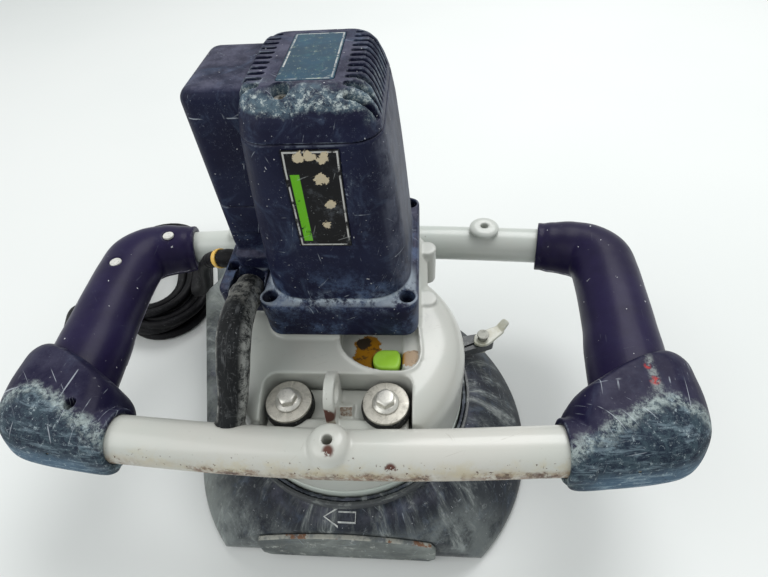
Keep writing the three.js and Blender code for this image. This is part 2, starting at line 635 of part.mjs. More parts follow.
// ---------------------------------------------------------------- extraction hood
const hoodProfile = [[77, 66], [79, 66], [79.2, 57.5], [91, 53], [106, 41], [118, 25.5], [126.5, 10],
  [hoodRimRadius, 2.5]];
const ductHeading = THREE.MathUtils.degToRad(90 + ductAngle);
const ductAlong = [Math.cos(ductHeading), Math.sin(ductHeading)];
const ductInward = [Math.sin(ductHeading), -Math.cos(ductHeading)];
const ductStart = [-114 + ductInward[0] * ductWidth * 0.5, -22 + ductInward[1] * ductWidth * 0.5];

// Point in the duct: s along it, w across it from its middle (positive towards the wheel), z up.
function ductPoint(s, w, z) {
  return [ductStart[0] + ductAlong[0] * s + ductInward[0] * w,
    ductStart[1] + ductAlong[1] * s + ductInward[1] * w, z];
}

function ductBody(shrink, from, to, spigotFrom, spigotTo) {
  const box = roundedRect(-ductWidth / 2 + shrink, ductWidth / 2 - shrink, 2.5 + shrink * 0.99, ductTop - shrink, 9, 3);
  const circle = box.map((_, i) => {
    const a = THREE.MathUtils.degToRad(22.5 * i + 11.25);
    return [(spigotRadius - shrink) * Math.cos(a), 25 + (spigotRadius - shrink) * Math.sin(a)];
  });
  const rings = [[from, box], [to, box], [spigotFrom, circle], [spigotTo, circle]];
  return loft(rings.map(([s, outline]) => outline.map(([w, z]) => ductPoint(s, w, z))));
}

function dome(shrink, floor) {
  const inner = hoodProfile.slice(2).map(([r, z]) => [r - shrink, z - shrink * 0.8]);
  return turned([[0, floor], [hoodRimRadius - shrink, floor], ...inner.reverse(), [0, 57.5 - shrink * 0.8]], 36);
}

function inFrontOf(y) {
  return prism([[-300, -300], [300, -300], [300, y], [-300, y]], -50, 150);
}

const flapArch = [];
for (let i = 0; i <= 10; i++) {
  const x = 59 - (118 * i) / 10;
  const u = Math.abs(x) / 59;
  flapArch.push([x - 1, 46.5 - 11.5 * u * u - (u > 0.95 ? 8 : 0)]);
}
{
  let shell = dome(0, 2.5).subtract(inFrontOf(hoodCutY));
  shell = shell.add(ductBody(0, -8, 143, 158, 197));
  shell = shell.subtract(dome(hoodWall, 0).subtract(inFrontOf(hoodCutY + hoodWall)));
  shell = shell.subtract(ductBody(hoodWall, -6, 141, 158, 200));
  shell = shell.subtract(prism([[-120, -50], [-70, -30], [-90, 60], [-130, 50]], 1, 6));
  shell = shell.add(ring(0, 0, 77.4, 80, 52, 66, 36));
  shell = shell.subtract(cylinder(0, 0, 77.4, 40, 70, 36));
  shell = shell.subtract(prism([[70, 30], [90, 36], [88, 42], [68, 38]], 58.5, 70));
  const window = flapArch.map(([x, z]) => [x * 0.9, z - 7]);
  window.push([-54, -5], [52, -5]);
  shell = shell.subtract(prism(window, 85, 100).rotate([90, 0, 0]));
  const arrow = [[-14, 0], [-4, 6.5], [-4, 3.6], [9, 3.6], [9, -3.6], [-4, -3.6], [-4, -6.5]];
  const hollow = arrow.map(([x, y]) => [(x + 1) * 0.74 - 0.4, y * 0.66]);
  let sign = prism(arrow.map(([x, y]) => [x, y - 86]), 40, 58.6);
  sign = sign.subtract(prism(hollow.map(([x, y]) => [x, y - 86]), 30, 70));
  sign = sign.intersect(dome(-0.7, 2.5)).subtract(dome(hoodWall * 0.5, 0));
  shell = shell.add(sign);
  add('hood_shell', shell, hoodGrey, 0.6, 0.0);
}
{
  const outline = [...flapArch, [-60, 9], [-56, 4], [54, 4], [58, 9]];
  const flap = prism(outline, -hoodCutY + gap, -hoodCutY + 3.6).rotate([90, 0, 0]);
  add('edge_flap', flap, '#8f9490', 0.55, 0.0);
}
{
  const brush = ring(0, 0, 114, 121, 0, 8.4, 44).subtract(inFrontOf(hoodCutY + 5));
  add('brush_ring', brush, '#17181a', 0.9, 0.0);
}
{
  let band = ring(0, 0, 80.4, 82.4, 58.5, 66.5, 44);
  const ear = prism([[75, 30.5], [104, 41], [103, 47.5], [97, 50.5], [68, 44]], 58.5, 66.5);
  band = band.add(ear.subtract(cylinder(0, 0, 80.4, 50, 70, 44)));
  const slit = prism([[65, -0.8], [120, -0.8], [120, 0.8], [65, 0.8]], 50, 70);
  band = band.subtract(slit.rotate([0, 0, 24.35]));
  band = band.subtract(cylinder(95, 43, 3.3, 50, 80, 16));
  add('clamp_band', band, paint, 0.4, 0.3);
  add('clamp_pin', turned([[0, 56], [4.6, 56], [4.6, 58.2], [3, 58.2], [3, 73], [4.4, 73], [4.4, 74.6], [0, 74.6]],
    16, 95, 43), zinc, 0.35, 0.9);
  const lever = softBlock([[88, 38.5], [93, 36], [99, 37.2], [113, 50.5], [108.5, 56], [94.5, 50], [89, 46]],
    66.9, 69.6, 0, 0.6);
  const tip = softBlock([[108, 47.5], [112, 50.2], [118, 56.6], [113.4, 61], [105.6, 54]], 67.4, 70, 0.4, 0.4);
  const raised = tip.translate([-112, -53, -69]).rotate([0, -28, 0]).rotate([14, 0, 0]).translate([111, 52.5, 70]);
  const handle = lever.add(raised).subtract(cylinder(95, 43, 3.3, 50, 80, 16));
  add('clamp_lever', handle, '#b9b29a', 0.45, 0.5);
}

// ---------------------------------------------------------------- cord, hank and plug
{
  const relief = [[-76.3, 46, 152], [-84, 47.5, 151], [-93, 50.5, 147.5], [-101, 54.5, 141.5]];
  add('strain_relief', sweep(smoothPath([[-66, 46, 152], ...relief], 8),
    [[6, 6], [6, 6], [7, 7], [6.2, 6.2], [5.6, 5.6], [5.2, 5.2]], 10), rubber, 0.8, 0.0);
  const lead = [[-101.6, 54.9, 140.9], [-109.5, 60.5, 131], [-118, 69, 115], [-126, 79, 97], [-135, 88, 79],
    [-146, 97, 63.5], [-159, 107, 50], [-170, 122, 38]];
  add('cord_lead', sweep(smoothPath(lead, 16), evenly(cordRadius), 8), rubber, 0.75, 0.0);

  const outline = [];
  const [dx, dy] = hankDirection;
  const heading = Math.atan2(dy, dx);
  for (const [along, turn] of [[hankStraight, -90], [0, 90]]) {
    for (let i = 0; i <= 12; i++) {
      const t = heading + THREE.MathUtils.degToRad(turn + 15 * i);
      outline.push([hankNear[0] + dx * along + hankHalfWidth * Math.cos(t),
        hankNear[1] + dy * along + hankHalfWidth * Math.sin(t)]);
    }
  }
  add('cord_hank', prism(outline, 0, hankHeight), rubber, 0.75, 0.0);

  const tail = [[-275.6, 209, 4.6], [-285.5, 191, 5], [-290, 168, 9], [-290.6, 146, 16], [-287, 127.5, 18.6]];
  add('cord_tail', sweep(smoothPath(tail, 12), evenly(cordRadius), 10), rubber, 0.75, 0.0);
  let plug = turned([[0, 0], [5.6, 0], [7, 8], [9, 16], [17.5, 22], [18.5, 28], [18.5, 44], [17, 47], [0, 47]], 18);
  for (const side of [-9.5, 9.5]) {
    plug = plug.add(turned([[0, 46], [2.4, 46], [2.4, 64.5], [1.6, 66], [0, 66]], 8, side, 0));
  }
  add('plug', plug.rotate([90, 0, 0]).rotate([0, 0, 17.5]).translate([-286.6, 126.2, 18.6]), rubber, 0.6, 0.0);
}

export default group;
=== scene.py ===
from math import asin, cos, hypot, pi, radians, sin

import bmesh
import bpy
import numpy as np
from mathutils import Matrix, Vector


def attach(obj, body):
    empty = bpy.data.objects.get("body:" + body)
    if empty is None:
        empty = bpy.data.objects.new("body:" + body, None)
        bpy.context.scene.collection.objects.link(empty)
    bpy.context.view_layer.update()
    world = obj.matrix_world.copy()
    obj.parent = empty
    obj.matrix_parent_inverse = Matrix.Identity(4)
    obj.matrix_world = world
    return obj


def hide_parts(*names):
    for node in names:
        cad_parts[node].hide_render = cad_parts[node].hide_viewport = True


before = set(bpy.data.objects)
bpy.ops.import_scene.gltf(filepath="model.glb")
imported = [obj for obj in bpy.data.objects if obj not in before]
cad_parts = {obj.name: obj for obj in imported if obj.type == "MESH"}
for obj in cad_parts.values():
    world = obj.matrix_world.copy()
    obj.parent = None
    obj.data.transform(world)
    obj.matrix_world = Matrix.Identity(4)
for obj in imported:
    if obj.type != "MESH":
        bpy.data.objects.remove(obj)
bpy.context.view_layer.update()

# Everything below is laid out in millimetres about the spindle axis, as the part itself is.
MID_Y = 42.538
MOTOR_Y = 46


def at(x, y, z):
    return Vector((x / 1000, (y - MID_Y) / 1000, z / 1000))


# ------------------------------------------------------------ camera
CAMERA_PLACE = (49.78, -182.26, 373.04)
CAMERA_AIM = (-0.0809, 0.6711, -0.7369)
CAMERA_UP = (-0.0012, 0.7392, 0.6734)
LENS = 22.744


def set_camera():
    data = bpy.data.cameras.new("view")
    data.sensor_width = 36
    data.lens = LENS
    data.clip_start = 0.01
    camera = bpy.data.objects.new("view", data)
    bpy.context.scene.collection.objects.link(camera)
    aim = Vector(CAMERA_AIM).normalized()
    right = aim.cross(Vector(CAMERA_UP)).normalized()
    up = right.cross(aim)
    turn = Matrix((right, up, -aim)).transposed().to_4x4()
    camera.matrix_world = Matrix.Translation(at(*CAMERA_PLACE)) @ turn
    bpy.context.scene.camera = camera


set_camera()


# ------------------------------------------------------------ finishes
class Finish:
    """A procedural material, put together layer by layer over the piece's own coordinates."""

    def __init__(self, name, colour, rough, metal=0, coat=0, shine=0.5):
        self.material = bpy.data.materials.new(name)
        self.material.use_nodes = True
        self.tree = self.material.node_tree
        self.shader = self.tree.nodes["Principled BSDF"].inputs
        self.feed(self.shader, {"Metallic": metal, "Coat Weight": coat, "Coat Roughness": 0.12,
                                "Specular IOR Level": shine})
        self.place = self.node("ShaderNodeTexCoord")["Object"]
        geometry = self.node("ShaderNodeNewGeometry")
        self.edges = geometry["Pointiness"]
        self.facing = self.node("ShaderNodeSeparateXYZ", {0: geometry["Normal"]})
        self.xyz = self.node("ShaderNodeSeparateXYZ", {0: self.place})
        self.colour = (*colour, 1)
        self.rough = rough
        self.height = 0

    def feed(self, sockets, inputs):
        for key, value in inputs.items():
            if isinstance(value, bpy.types.NodeSocket):
                self.tree.links.new(value, sockets[key])
            else:
                sockets[key].default_value = value

    def node(self, kind, inputs=None, **settings):
        """Adds a node, feeds its inputs by place or name, and gives back its outputs."""
        node = self.tree.nodes.new(kind)
        for key, value in settings.items():
            setattr(node, key, value)
        self.feed(node.inputs, inputs or {})
        return node.outputs

    def sum(self, a, b, operation="ADD"):
        return self.node("ShaderNodeMath", {0: a, 1: b}, operation=operation)[0]

    def times(self, first, *others):
        for value in others:
            first = self.sum(first, value, "MULTIPLY")
        return first

    def either(self, a, b):
        return self.sum(a, b, "MAXIMUM")

    def step(self, value, low, high):
        """Rises smoothly from nothing at low to one at high; low may be the larger of the two."""
        ends = (high, low, 1, 0) if low > high else (low, high, 0, 1)
        inputs = dict(enumerate((value, *ends)))
        return self.node("ShaderNodeMapRange", inputs, interpolation_type="SMOOTHSTEP")[0]

    def noise(self, scale, detail=5, rough=0.6, stretch=None, turn=None, warp=0, seed=0, place=None):
        vector = place or self.place
        if turn:
            inputs = {"Vector": vector, "Rotation": [radians(a) for a in turn]}
            vector = self.node("ShaderNodeVectorRotate", inputs, rotation_type="EULER_XYZ")[0]
        shift = (seed, 1.7 * seed, -seed) if seed else None
        for operation, values in (("MULTIPLY", stretch), ("ADD", shift)):
            if values:
                vector = self.node("ShaderNodeVectorMath", {0: vector, 1: values}, operation=operation)[0]
        return self.node("ShaderNodeTexNoise", {"Vector": vector, "Scale": scale, "Detail": detail,
                                                "Roughness": rough, "Distortion": warp})[0]

    def blot(self, low, high, *wave, **more):
        """Patches where a noise, described by the other values, rises from low to high."""
        return self.step(self.noise(*wave, **more), low, high)

    def wobble(self, size, *wave, **more):
        """Noise that swings about zero over the given size."""
        return self.times(self.sum(self.noise(*wave, **more), 0.5, "SUBTRACT"), size)

    def between(self, value, low, high, soft):
        return self.times(self.step(value, low - soft, low + soft),
                          self.step(value, high + soft, high - soft))

    def near(self, point, radius, soft):
        """One within radius of a point, in millimetres, fading to nothing over soft."""
        away = self.node("ShaderNodeVectorMath", {0: self.place, 1: at(*point)},
                         operation="DISTANCE")["Value"]
        return self.step(away, (radius + soft) / 1000, max(radius - soft, 0) / 1000)

    def lines(self, scale, turn, thin, seed, patch=40, cover=0.56):
        """Straight fine marks: thin sheets of noise cut by the surface, broken up into patches."""
        marks = self.blot(thin, thin + 0.03, scale, 1, 0.5, (0.022, 0.022, 1), turn, 0, seed)
        return self.times(marks, self.blot(cover, cover + 0.07, patch, 4, 0.65, seed=seed + 3.1))

    def layer(self, mask, colour, rough=None, lift=0):
        """Lays a colour, roughness and height where the mask, or the product of several, is one."""
        if isinstance(mask, tuple):
            mask = self.times(*mask)
        inputs = {0: mask, 6: self.colour, 7: (*colour, 1)}
        self.colour = self.node("ShaderNodeMix", inputs, data_type="RGBA")[2]
        if rough is not None:
            self.rough = self.node("ShaderNodeMix", {0: mask, 2: self.rough, 3: rough},
                                   data_type="FLOAT")[0]
        if lift:
            self.height = self.sum(self.height, self.times(mask, lift))

    def done(self, depth=0.6, grain=0.12, grain_scale=900):
        """Adds the fine grain, wires up the shader and gives back the material."""
        height = self.sum(self.height, self.times(self.noise(grain_scale, 3, 0.7), grain))
        rough = self.sum(self.rough, self.times(self.noise(160, 4, 0.7, seed=9), 0.14))
        bump = self.node("ShaderNodeBump", {"Strength": depth, "Distance": 0.0004, "Height": height})[0]
        self.feed(self.shader, {"Normal": bump, "Base Color": self.colour,
                                "Roughness": self.sum(rough, 0.07, "SUBTRACT")})
        return self.material


WHITE_MARK = (0.75, 0.77, 0.8)
SCRATCH_TURNS = ((0, 0, 0), (64, 12, 0), (30, 75, 0), (-50, 40, 0), (85, -35, 0))


def worn_plastic(name, base, second, rough=0.42, dust=1, marks=1, extra=None, coat=0, shine=0.12):
    """Dark moulding with chalky dust, smears, fine scratches and pale edges."""
    f = Finish(name, base, rough, coat=coat, shine=shine)
    f.layer(f.blot(0.4, 0.65, 28, 4), second)
    haze = f.blot(0.5, 0.78, 34, 9, 0.72, warp=1.2)
    f.layer((haze, 0.38 * dust), (0.13, 0.19, 0.3), 0.7, 0.1)
    smear = f.noise(120, 6, 0.7, (1, 1, 0.16), (12, -9, 0), 0.6, 2.2)
    f.layer((f.step(smear, 0.56, 0.74), f.blot(0.45, 0.65, 22, 3, seed=6), 0.3 * dust),
            (0.2, 0.26, 0.35), 0.65, 0.1)
    flecks = f.times(f.blot(0.6, 0.68, 330, 7, 0.8, seed=4.4), f.blot(0.47, 0.62, 36, 4, seed=9.2))
    f.layer((flecks, 0.5 * dust), (0.36, 0.42, 0.5), 0.7, 0.1)
    for i, turn in enumerate(SCRATCH_TURNS):
        f.layer((f.lines(900 + 150 * i, turn, 0.71, 1.3 + 2 * i), 0.4 * marks), (0.5, 0.56, 0.63), 0.6,
                -0.2)
    f.layer((f.blot(0.76, 0.785, 560, 1, 0.5, seed=5.4), 0.5 * dust), WHITE_MARK, 0.7, 0.2)
    grit = f.times(f.blot(0.56, 0.63, 620, 9, 0.88, seed=14.4), f.blot(0.4, 0.7, 30, 6, 0.7, seed=15.2))
    f.layer((grit, 0.4 * dust), (0.28, 0.34, 0.42), 0.7, 0.1)
    rim = f.times(f.step(f.edges, 0.525, 0.58), f.blot(0.42, 0.6, 90, 5, 0.7, seed=7.7))
    f.layer((rim, 0.6 * marks), (0.38, 0.44, 0.52), 0.6)
    crease = f.times(f.step(f.edges, 0.478, 0.45), f.blot(0.45, 0.6, 70, 6, 0.75, seed=3.7))
    f.layer((crease, 0.5 * dust), (0.4, 0.46, 0.52), 0.75)
    top = f.times(f.step(f.facing[2], 0.75, 0.99), f.blot(0.35, 0.7, 60, 6, 0.7, seed=8.3))
    f.layer((top, 0.3 * dust), (0.24, 0.24, 0.33), 0.75)
    if extra:
        extra(f)
    return f.done()


def painted(name, tint=(0.66, 0.66, 0.62), extra=None, metal=0, chips=1):
    """Light grey gloss paint with painted shade darkening its concave corners, and small brown chips."""
    f = Finish(name, tint, 0.3, metal, 0.25)
    cool = tuple(c * k for c, k in zip(tint, (0.93, 0.97, 0.97)))
    f.layer(f.blot(0.35, 0.7, 14, 3), cool)
    f.layer((f.blot(0.52, 0.75, 70, 8, 0.75, warp=0.8), 0.2), (0.5, 0.48, 0.42), 0.45)
    # painted shade: every concave crease is darkened to brown-black, standing in for the shade that falls
    # there
    f.layer((f.step(f.edges, 0.485, 0.43), 0.75), (0.16, 0.14, 0.11), 0.8)
    f.layer((f.lines(1000, (0, 30, 15), 0.7, 2), 0.35), (0.36, 0.34, 0.3), 0.5, -0.2)
    f.layer((f.lines(1200, (70, 20, 0), 0.7, 5), 0.35), (0.34, 0.32, 0.28), 0.5, -0.2)
    spots = f.times(f.blot(0.72, 0.75, 260, 3, 0.6, seed=3.3), f.blot(0.5, 0.62, 30, 2, seed=5.5))
    f.layer((spots, chips), (0.07, 0.035, 0.02), 0.8, -0.5)
    if extra:
        extra(f)
    return f.done(0.5, 0.03, 500)


def bare_metal(name, tint, rough=0.4, dirt=0.5, metal=0.9):
    f = Finish(name, tint, rough, metal)
    f.layer(f.blot(0.4, 0.7, 240, 5, 0.7), tuple(c * 0.72 for c in tint), rough + 0.12)
    f.layer((f.lines(900, (60, 0, 40), 0.62, 2), 0.35), tuple(min(c * 1.5, 0.95) for c in tint), 0.3, -0.2)
    f.layer((f.blot(0.55, 0.68, 330, 6, 0.75, warp=1, seed=4), dirt), (0.12, 0.11, 0.09), 0.75, 0.15)
    f.layer((f.step(f.edges, 0.54, 0.6), 0.4), tuple(min(c * 1.4, 0.95) for c in tint), 0.3)
    return f.done(0.5, 0.1, 1400)


def rubbery(name, tint=(0.018, 0.018, 0.019), dust=1, extra=None):
    f = Finish(name, tint, 0.55, shine=0.15)
    f.layer(f.blot(0.4, 0.7, 60, 4), tuple(c * 1.7 for c in tint))
    f.layer((f.blot(0.52, 0.7, 180, 8, 0.75, warp=1.5, seed=1), 0.32 * dust), (0.3, 0.31, 0.32), 0.8, 0.2)
    f.layer((f.blot(0.68, 0.74, 700, 2, 0.5, seed=4), 0.5 * dust), (0.5, 0.52, 0.54), 0.8)
    if extra:
        extra(f)
    return f.done(0.6, 0.2, 1500)


# ------------------------------------------------------------ shapes
def make(name, points, faces):
    mesh = bpy.data.meshes.new(name)
    moved = (np.asarray(points, float) - (0, MID_Y, 0)) / 1000
    mesh.from_pydata(moved.tolist(), [], faces)
    shape = bmesh.new()
    shape.from_mesh(mesh)
    bmesh.ops.recalc_face_normals(shape, faces=shape.faces)
    shape.to_mesh(mesh)
    shape.free()
    thing = bpy.data.objects.new(name, mesh)
    bpy.context.scene.collection.objects.link(thing)
    return thing


def loft(name, rings, closed=False):
    """Skin over rings of equal point count, capped at both ends or closed on itself."""
    n = len(rings[0])
    count = len(rings)
    points = [tuple(p) for ring in rings for p in ring]
    faces = []
    for i in range(count if closed else count - 1):
        low = i * n
        high = ((i + 1) % count) * n
        for j in range(n):
            k = (j + 1) % n
            faces.append((low + j, low + k, high + k, high + j))
    if not closed:
        for base, ring in ((0, rings[0]), ((count - 1) * n, rings[-1])):
            points.append(tuple(np.mean(np.asarray(ring, float), axis=0)))
            hub = len(points) - 1
            for j in range(n):
                faces.append((hub, base + j, base + (j + 1) % n))
    return make(name, points, faces)


def level(outline, z):
    return [(x, y, z) for x, y in outline]


PLANES = {"xy": (0, 1, 2), "xz": (0, 2, 1), "yz": (2, 0, 1)}


def box(x0, x1, y0, y1):
    return [(x0, y0), (x1, y0), (x1, y1), (x0, y1)]


def prism(name, outline, start, end, plane="xy"):
    """Straight prism over an outline drawn in one plane, between two places along the third axis."""
    n = len(outline)
    faces = [tuple(range(n)), tuple(range(n, 2 * n))]
    for j in range(n):
        k = (j + 1) % n
        faces.append((j, k, n + k, n + j))
    points = level(outline, start) + level(outline, end)
    return make(name, [[p[k] for k in PLANES[plane]] for p in points], faces)


def turned(name, profile, segments=96, x=0, y=0):
    """Body of revolution about an upright axis; a profile off the axis closes on itself."""
    angles = [2 * pi * j / segments for j in range(segments)]
    rings = [[(x + r * cos(a), y + r * sin(a), z) for a in angles] for r, z in profile if r > 0]
    return loft(name, rings, closed=profile[0][0] > 0)


def cylinder(name, x, y, r, z0, z1, segments=48):
    return turned(name, box(0, r, z0, z1), segments, x, y)


def soften(points, radius, steps=4, closed=False):
    """Rounds the corners of a line of points with short curves."""
    points = [np.array(p, float) for p in points]
    n = len(points)
    result = []
    for i, p in enumerate(points):
        if not closed and i in (0, n - 1):
            result.append(tuple(p))
            continue
        before = points[i - 1] - p
        after = points[(i + 1) % n] - p
        a = p + before * min(radius / max(np.linalg.norm(before), 1e-9), 0.49)
        b = p + after * min(radius / max(np.linalg.norm(after), 1e-9), 0.49)
        for k in range(steps + 1):
            t = k / steps
            result.append(tuple(a * (1 - t) ** 2 + p * 2 * t * (1 - t) + b * t * t))
    return result


def rounded_rect(x0, x1, y0, y1, r, steps=8):
    outline = []
    for cx, cy, start in ((x1 - r, y1 - r, 0), (x0 + r, y1 - r, 90), (x0 + r, y0 + r, 180),
                          (x1 - r, y0 + r, 270)):
        for i in range(steps + 1):
            t = radians(start + 90 * i / steps)
            outline.append((cx + r * cos(t), cy + r * sin(t)))
    return outline


def inset(outline, d):
    n = len(outline)
    moved = []
    for i, (x, y) in enumerate(outline):
        px, py = outline[i - 1]
        qx, qy = outline[(i + 1) % n]
        length = hypot(qx - px, qy - py)
        moved.append((x - d * (qy - py) / length, y + d * (qx - px) / length))
    return moved


def soft_block(name, outline, z0, z1, low, high, steps=5):
    """Upright block whose bottom and top edges are rounded by low and high."""
    bends = [pi / 2 * i / steps for i in range(steps)]

    def edge(radius, z, way):
        return [level(inset(outline, radius * (1 - sin(t))),
                      z + way * radius * (1 - cos(t))) for t in bends if radius]

    sides = [level(outline, z0 + low), level(outline, z1 - high)]
    return loft(name, edge(low, z0, 1) + sides + edge(high, z1, -1)[::-1])


def smooth_path(points, count):
    """Evenly parameterised points on a smooth line through the given ones."""
    p = np.array(points, float)
    p = np.vstack([2 * p[0] - p[1], p, 2 * p[-1] - p[-2]])
    spans = len(p) - 3
    result = []
    for i in range(count + 1):
        u = spans * i / count
        k = min(int(u), spans - 1)
        t = u - k
        a, b, c, d = p[k:k + 4]
        result.append(0.5 * (2 * b + (c - a) * t + (2 * a - 5 * b + 4 * c - d) * t ** 2
                             + (3 * b - a - 3 * c + d) * t ** 3))
    return np.array(result)


def frames_along(path):
    """The sideways and upright directions at each point of a path."""
    across = None
    result = []
    for i in range(len(path)):
        tangent = path[min(i + 1, len(path) - 1)] - path[max(i - 1, 0)]
        tangent = tangent / np.linalg.norm(tangent)
        if across is None:
            across = np.cross(tangent, (1, 0, 0) if abs(tangent[2]) > 0.9 else (0, 0, 1))
        across = across - tangent * np.dot(across, tangent)
        across = across / np.linalg.norm(across)
        result.append((across, np.cross(across, tangent)))
    return result


def radii_at(radii, share):
    s = share * (len(radii) - 1)
    low = min(int(s), len(radii) - 2)
    t = s - low
    a, b = np.array(radii[low], float), np.array(radii[low + 1], float)
    t = t * t * (3 - 2 * t)
    return a * (1 - t) + b * t


def sweep(name, path, radii, sides=48):
    path = np.array(path, float)
    rings = []
    for i, (across, upright) in enumerate(frames_along(path)):
        ru, rv = radii_at(radii, i / (len(path) - 1))
        ring = []
        for j in range(sides):
            t = 2 * pi * j / sides
            ring.append(path[i] + across * ru * cos(t) + upright * rv * sin(t))
        rings.append(ring)
    return loft(name, rings)


def tube_space(route, gap):
    """The room that a cross tube takes, with a gap all round."""
    radius = TUBE_RADIUS + gap
    return sweep("tube_way", smooth_path(route, 60), [(radius, radius)] * 2)


def spun(outline, angle):
    c, s = cos(angle), sin(angle)
    return [(x * c - y * s, x * s + y * c) for x, y in outline]


def bar(name, a, b, r, sides=32):
    return sweep(name, [a, b], [(r, r), (r, r)], sides)


def bake(thing):
    bpy.context.view_layer.update()
    graph = bpy.context.evaluated_depsgraph_get()
    mesh = bpy.data.meshes.new_from_object(thing.evaluated_get(graph))
    thing.modifiers.clear()
    thing.data = mesh
    return thing


def combine(thing, tools, operation):
    """Joins or cuts with each tool in turn, with the exact solver where the fast one gives nothing."""
    for tool in tools:
        before = thing.data
        for solver in ("MANIFOLD", "EXACT"):
            thing.data = before
            modifier = thing.modifiers.new("join", "BOOLEAN")
            modifier.operation = operation
            modifier.solver = solver
            modifier.object = tool
            bake(thing)
            if len(thing.data.polygons) > 3:
                break
        bpy.data.objects.remove(tool)
    return thing


def carve(thing, *tools):
    return combine(thing, tools, "DIFFERENCE")


def weld(thing, *tools):
    return combine(thing, tools, "UNION")


def common(thing, *tools):
    return combine(thing, tools, "INTERSECT")


def cast(thing, voxel=0.8, passes=4):
    """Even fine skin with every edge slightly rounded, as on a casting or moulding."""
    remesh = thing.modifiers.new("skin", "REMESH")
    remesh.mode = "VOXEL"
    remesh.voxel_size = (voxel * 1) / 1000
    smooth = thing.modifiers.new("soften", "SMOOTH")
    smooth.factor = 0.5
    smooth.iterations = passes
    return bake(thing)


TOP = 0.281


def finish_piece(thing, material, slot, *nodes, body="machine"):
    """Gives a piece its material and joint body, and trims smoothing overshoot above the top."""
    spots = np.empty(len(thing.data.vertices) * 3)
    thing.data.vertices.foreach_get("co", spots)
    spots[2::3] = np.minimum(spots[2::3], TOP)
    thing.data.vertices.foreach_set("co", spots)
    thing.data.materials.clear()
    thing.data.materials.append(material)
    for polygon in thing.data.polygons:
        polygon.use_smooth = True
    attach(thing, body)
    if nodes:
        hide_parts(*nodes)
    return thing


def crisp(thing, angle=35):
    """Keeps hard edges sharp on turned and machined pieces."""
    shape = bmesh.new()
    shape.from_mesh(thing.data)
    bmesh.ops.remove_doubles(shape, verts=shape.verts, dist=1e-6)
    for edge in shape.edges:
        if len(edge.link_faces) == 2 and edge.calc_face_angle(0) > radians(angle):
            edge.smooth = False
    shape.to_mesh(thing.data)
    shape.free()
    return thing


# ------------------------------------------------------------ cord: route, hank, tail and plug
CORD_RADIUS = 4.15
HANK_NEAR = np.array((-216, 132))
HANK_ALONG = np.array((-0.3, 0.954))
HANK_ACROSS = np.array((0.954, 0.3))
HANK_STRAIGHT = 54
HANK_COLUMNS = (41.8, 33.5, 25)
HANK_LAYERS = (29.05, 20.75, 12.45, 4.15)
HANK_SHIFTS = ((0, 0), (6, -7), (-4, -1), (2, -4))
CORD_LEAD = [(-76.3, 46, 152), (-84, 47.5, 151), (-93, 50.5, 147.5), (-101.6, 54.9, 140.9),
             (-109.5, 60.5, 131),
             (-118, 69, 115), (-126, 79, 97), (-135, 88, 79), (-146, 97, 63.5), (-159, 107, 50),
             (-170, 122, 38)]
CORD_TAIL = [(-275.6, 209, 4.6), (-285.5, 191, 5), (-290, 168, 9), (-290.6, 146, 16), (-287, 127.5, 18.6)]
PLUG_TURN = 17.5
PLUG_PLACE = (-286.6, 126.2, 18.6)


def hank_point(share, width, z, wander):
    """A point on one oval turn, from the start of its right side once round."""
    arc = pi * width
    total = 2 * (arc + HANK_STRAIGHT)
    s = share * total
    if s < HANK_STRAIGHT:
        local = (width, s)
    elif s < HANK_STRAIGHT + arc:
        t = (s - HANK_STRAIGHT) / width
        local = (width * cos(t), HANK_STRAIGHT + width * sin(t))
    elif s < 2 * HANK_STRAIGHT + arc:
        local = (-width, 2 * HANK_STRAIGHT + arc - s)
    else:
        t = (s - 2 * HANK_STRAIGHT - arc) / width
        local = (-width * cos(t), -width * sin(t))
    spot = HANK_NEAR + HANK_ACROSS * (local[0] + wander[0]) + HANK_ALONG * (local[1] + wander[1])
    return (spot[0], spot[1], z)


def hank_route():
    stops = []
    for i, z in enumerate(HANK_LAYERS):
        columns = HANK_COLUMNS if i % 2 == 0 else HANK_COLUMNS[::-1]
        stops += [(w, z, *HANK_SHIFTS[i]) for w in columns]
    route = []
    steps = 44
    for turn, stop in enumerate(stops):
        following = stops[min(turn + 1, len(stops) - 1)]
        for i in range(steps):
            share = i / steps
            t = max(0, (share - 0.5) / 0.5)
            t = t * t * (3 - 2 * t)
            width, z, across, along = (a + (b - a) * t for a, b in zip(stop, following))
            phase = (turn + share) * 2 * pi
            wander = (across + 0.35 * sin(phase * 0.37), along + 1.1 * sin(phase * 0.23 + 1))
            if turn == len(stops) - 1 and share > 0.39:
                break
            if turn == 0 and share < 0.09:
                continue
            route.append(hank_point(share, width, z, wander))
    return route


def cord_route():
    lead = smooth_path(CORD_LEAD, 60)
    route = hank_route()
    into = smooth_path([CORD_LEAD[-2], CORD_LEAD[-1], route[0], route[1]], 18)[7:12]
    out = smooth_path([route[-2], route[-1], CORD_TAIL[1], CORD_TAIL[2]], 18)[7:12]
    tail = smooth_path(CORD_TAIL[1:], 24)
    points = np.vstack([lead, into, np.array(route), out, tail])
    for _ in range(3):
        points[1:-1] = (points[:-2] + 2 * points[1:-1] + points[2:]) / 4
    return points


def make_cord():
    points = cord_route()
    curve = bpy.data.curves.new("cord", "CURVE")
    curve.dimensions = "3D"
    curve.bevel_depth = CORD_RADIUS / 1000
    curve.bevel_resolution = 6
    curve.use_fill_caps = True
    spline = curve.splines.new("POLY")
    spline.points.add(len(points) - 1)
    for spot, p in zip(spline.points, points):
        spot.co = (*at(*p), 1)
    spline.use_smooth = True
    cord = bpy.data.objects.new("cord", curve)
    bpy.context.scene.collection.objects.link(cord)
    return cord


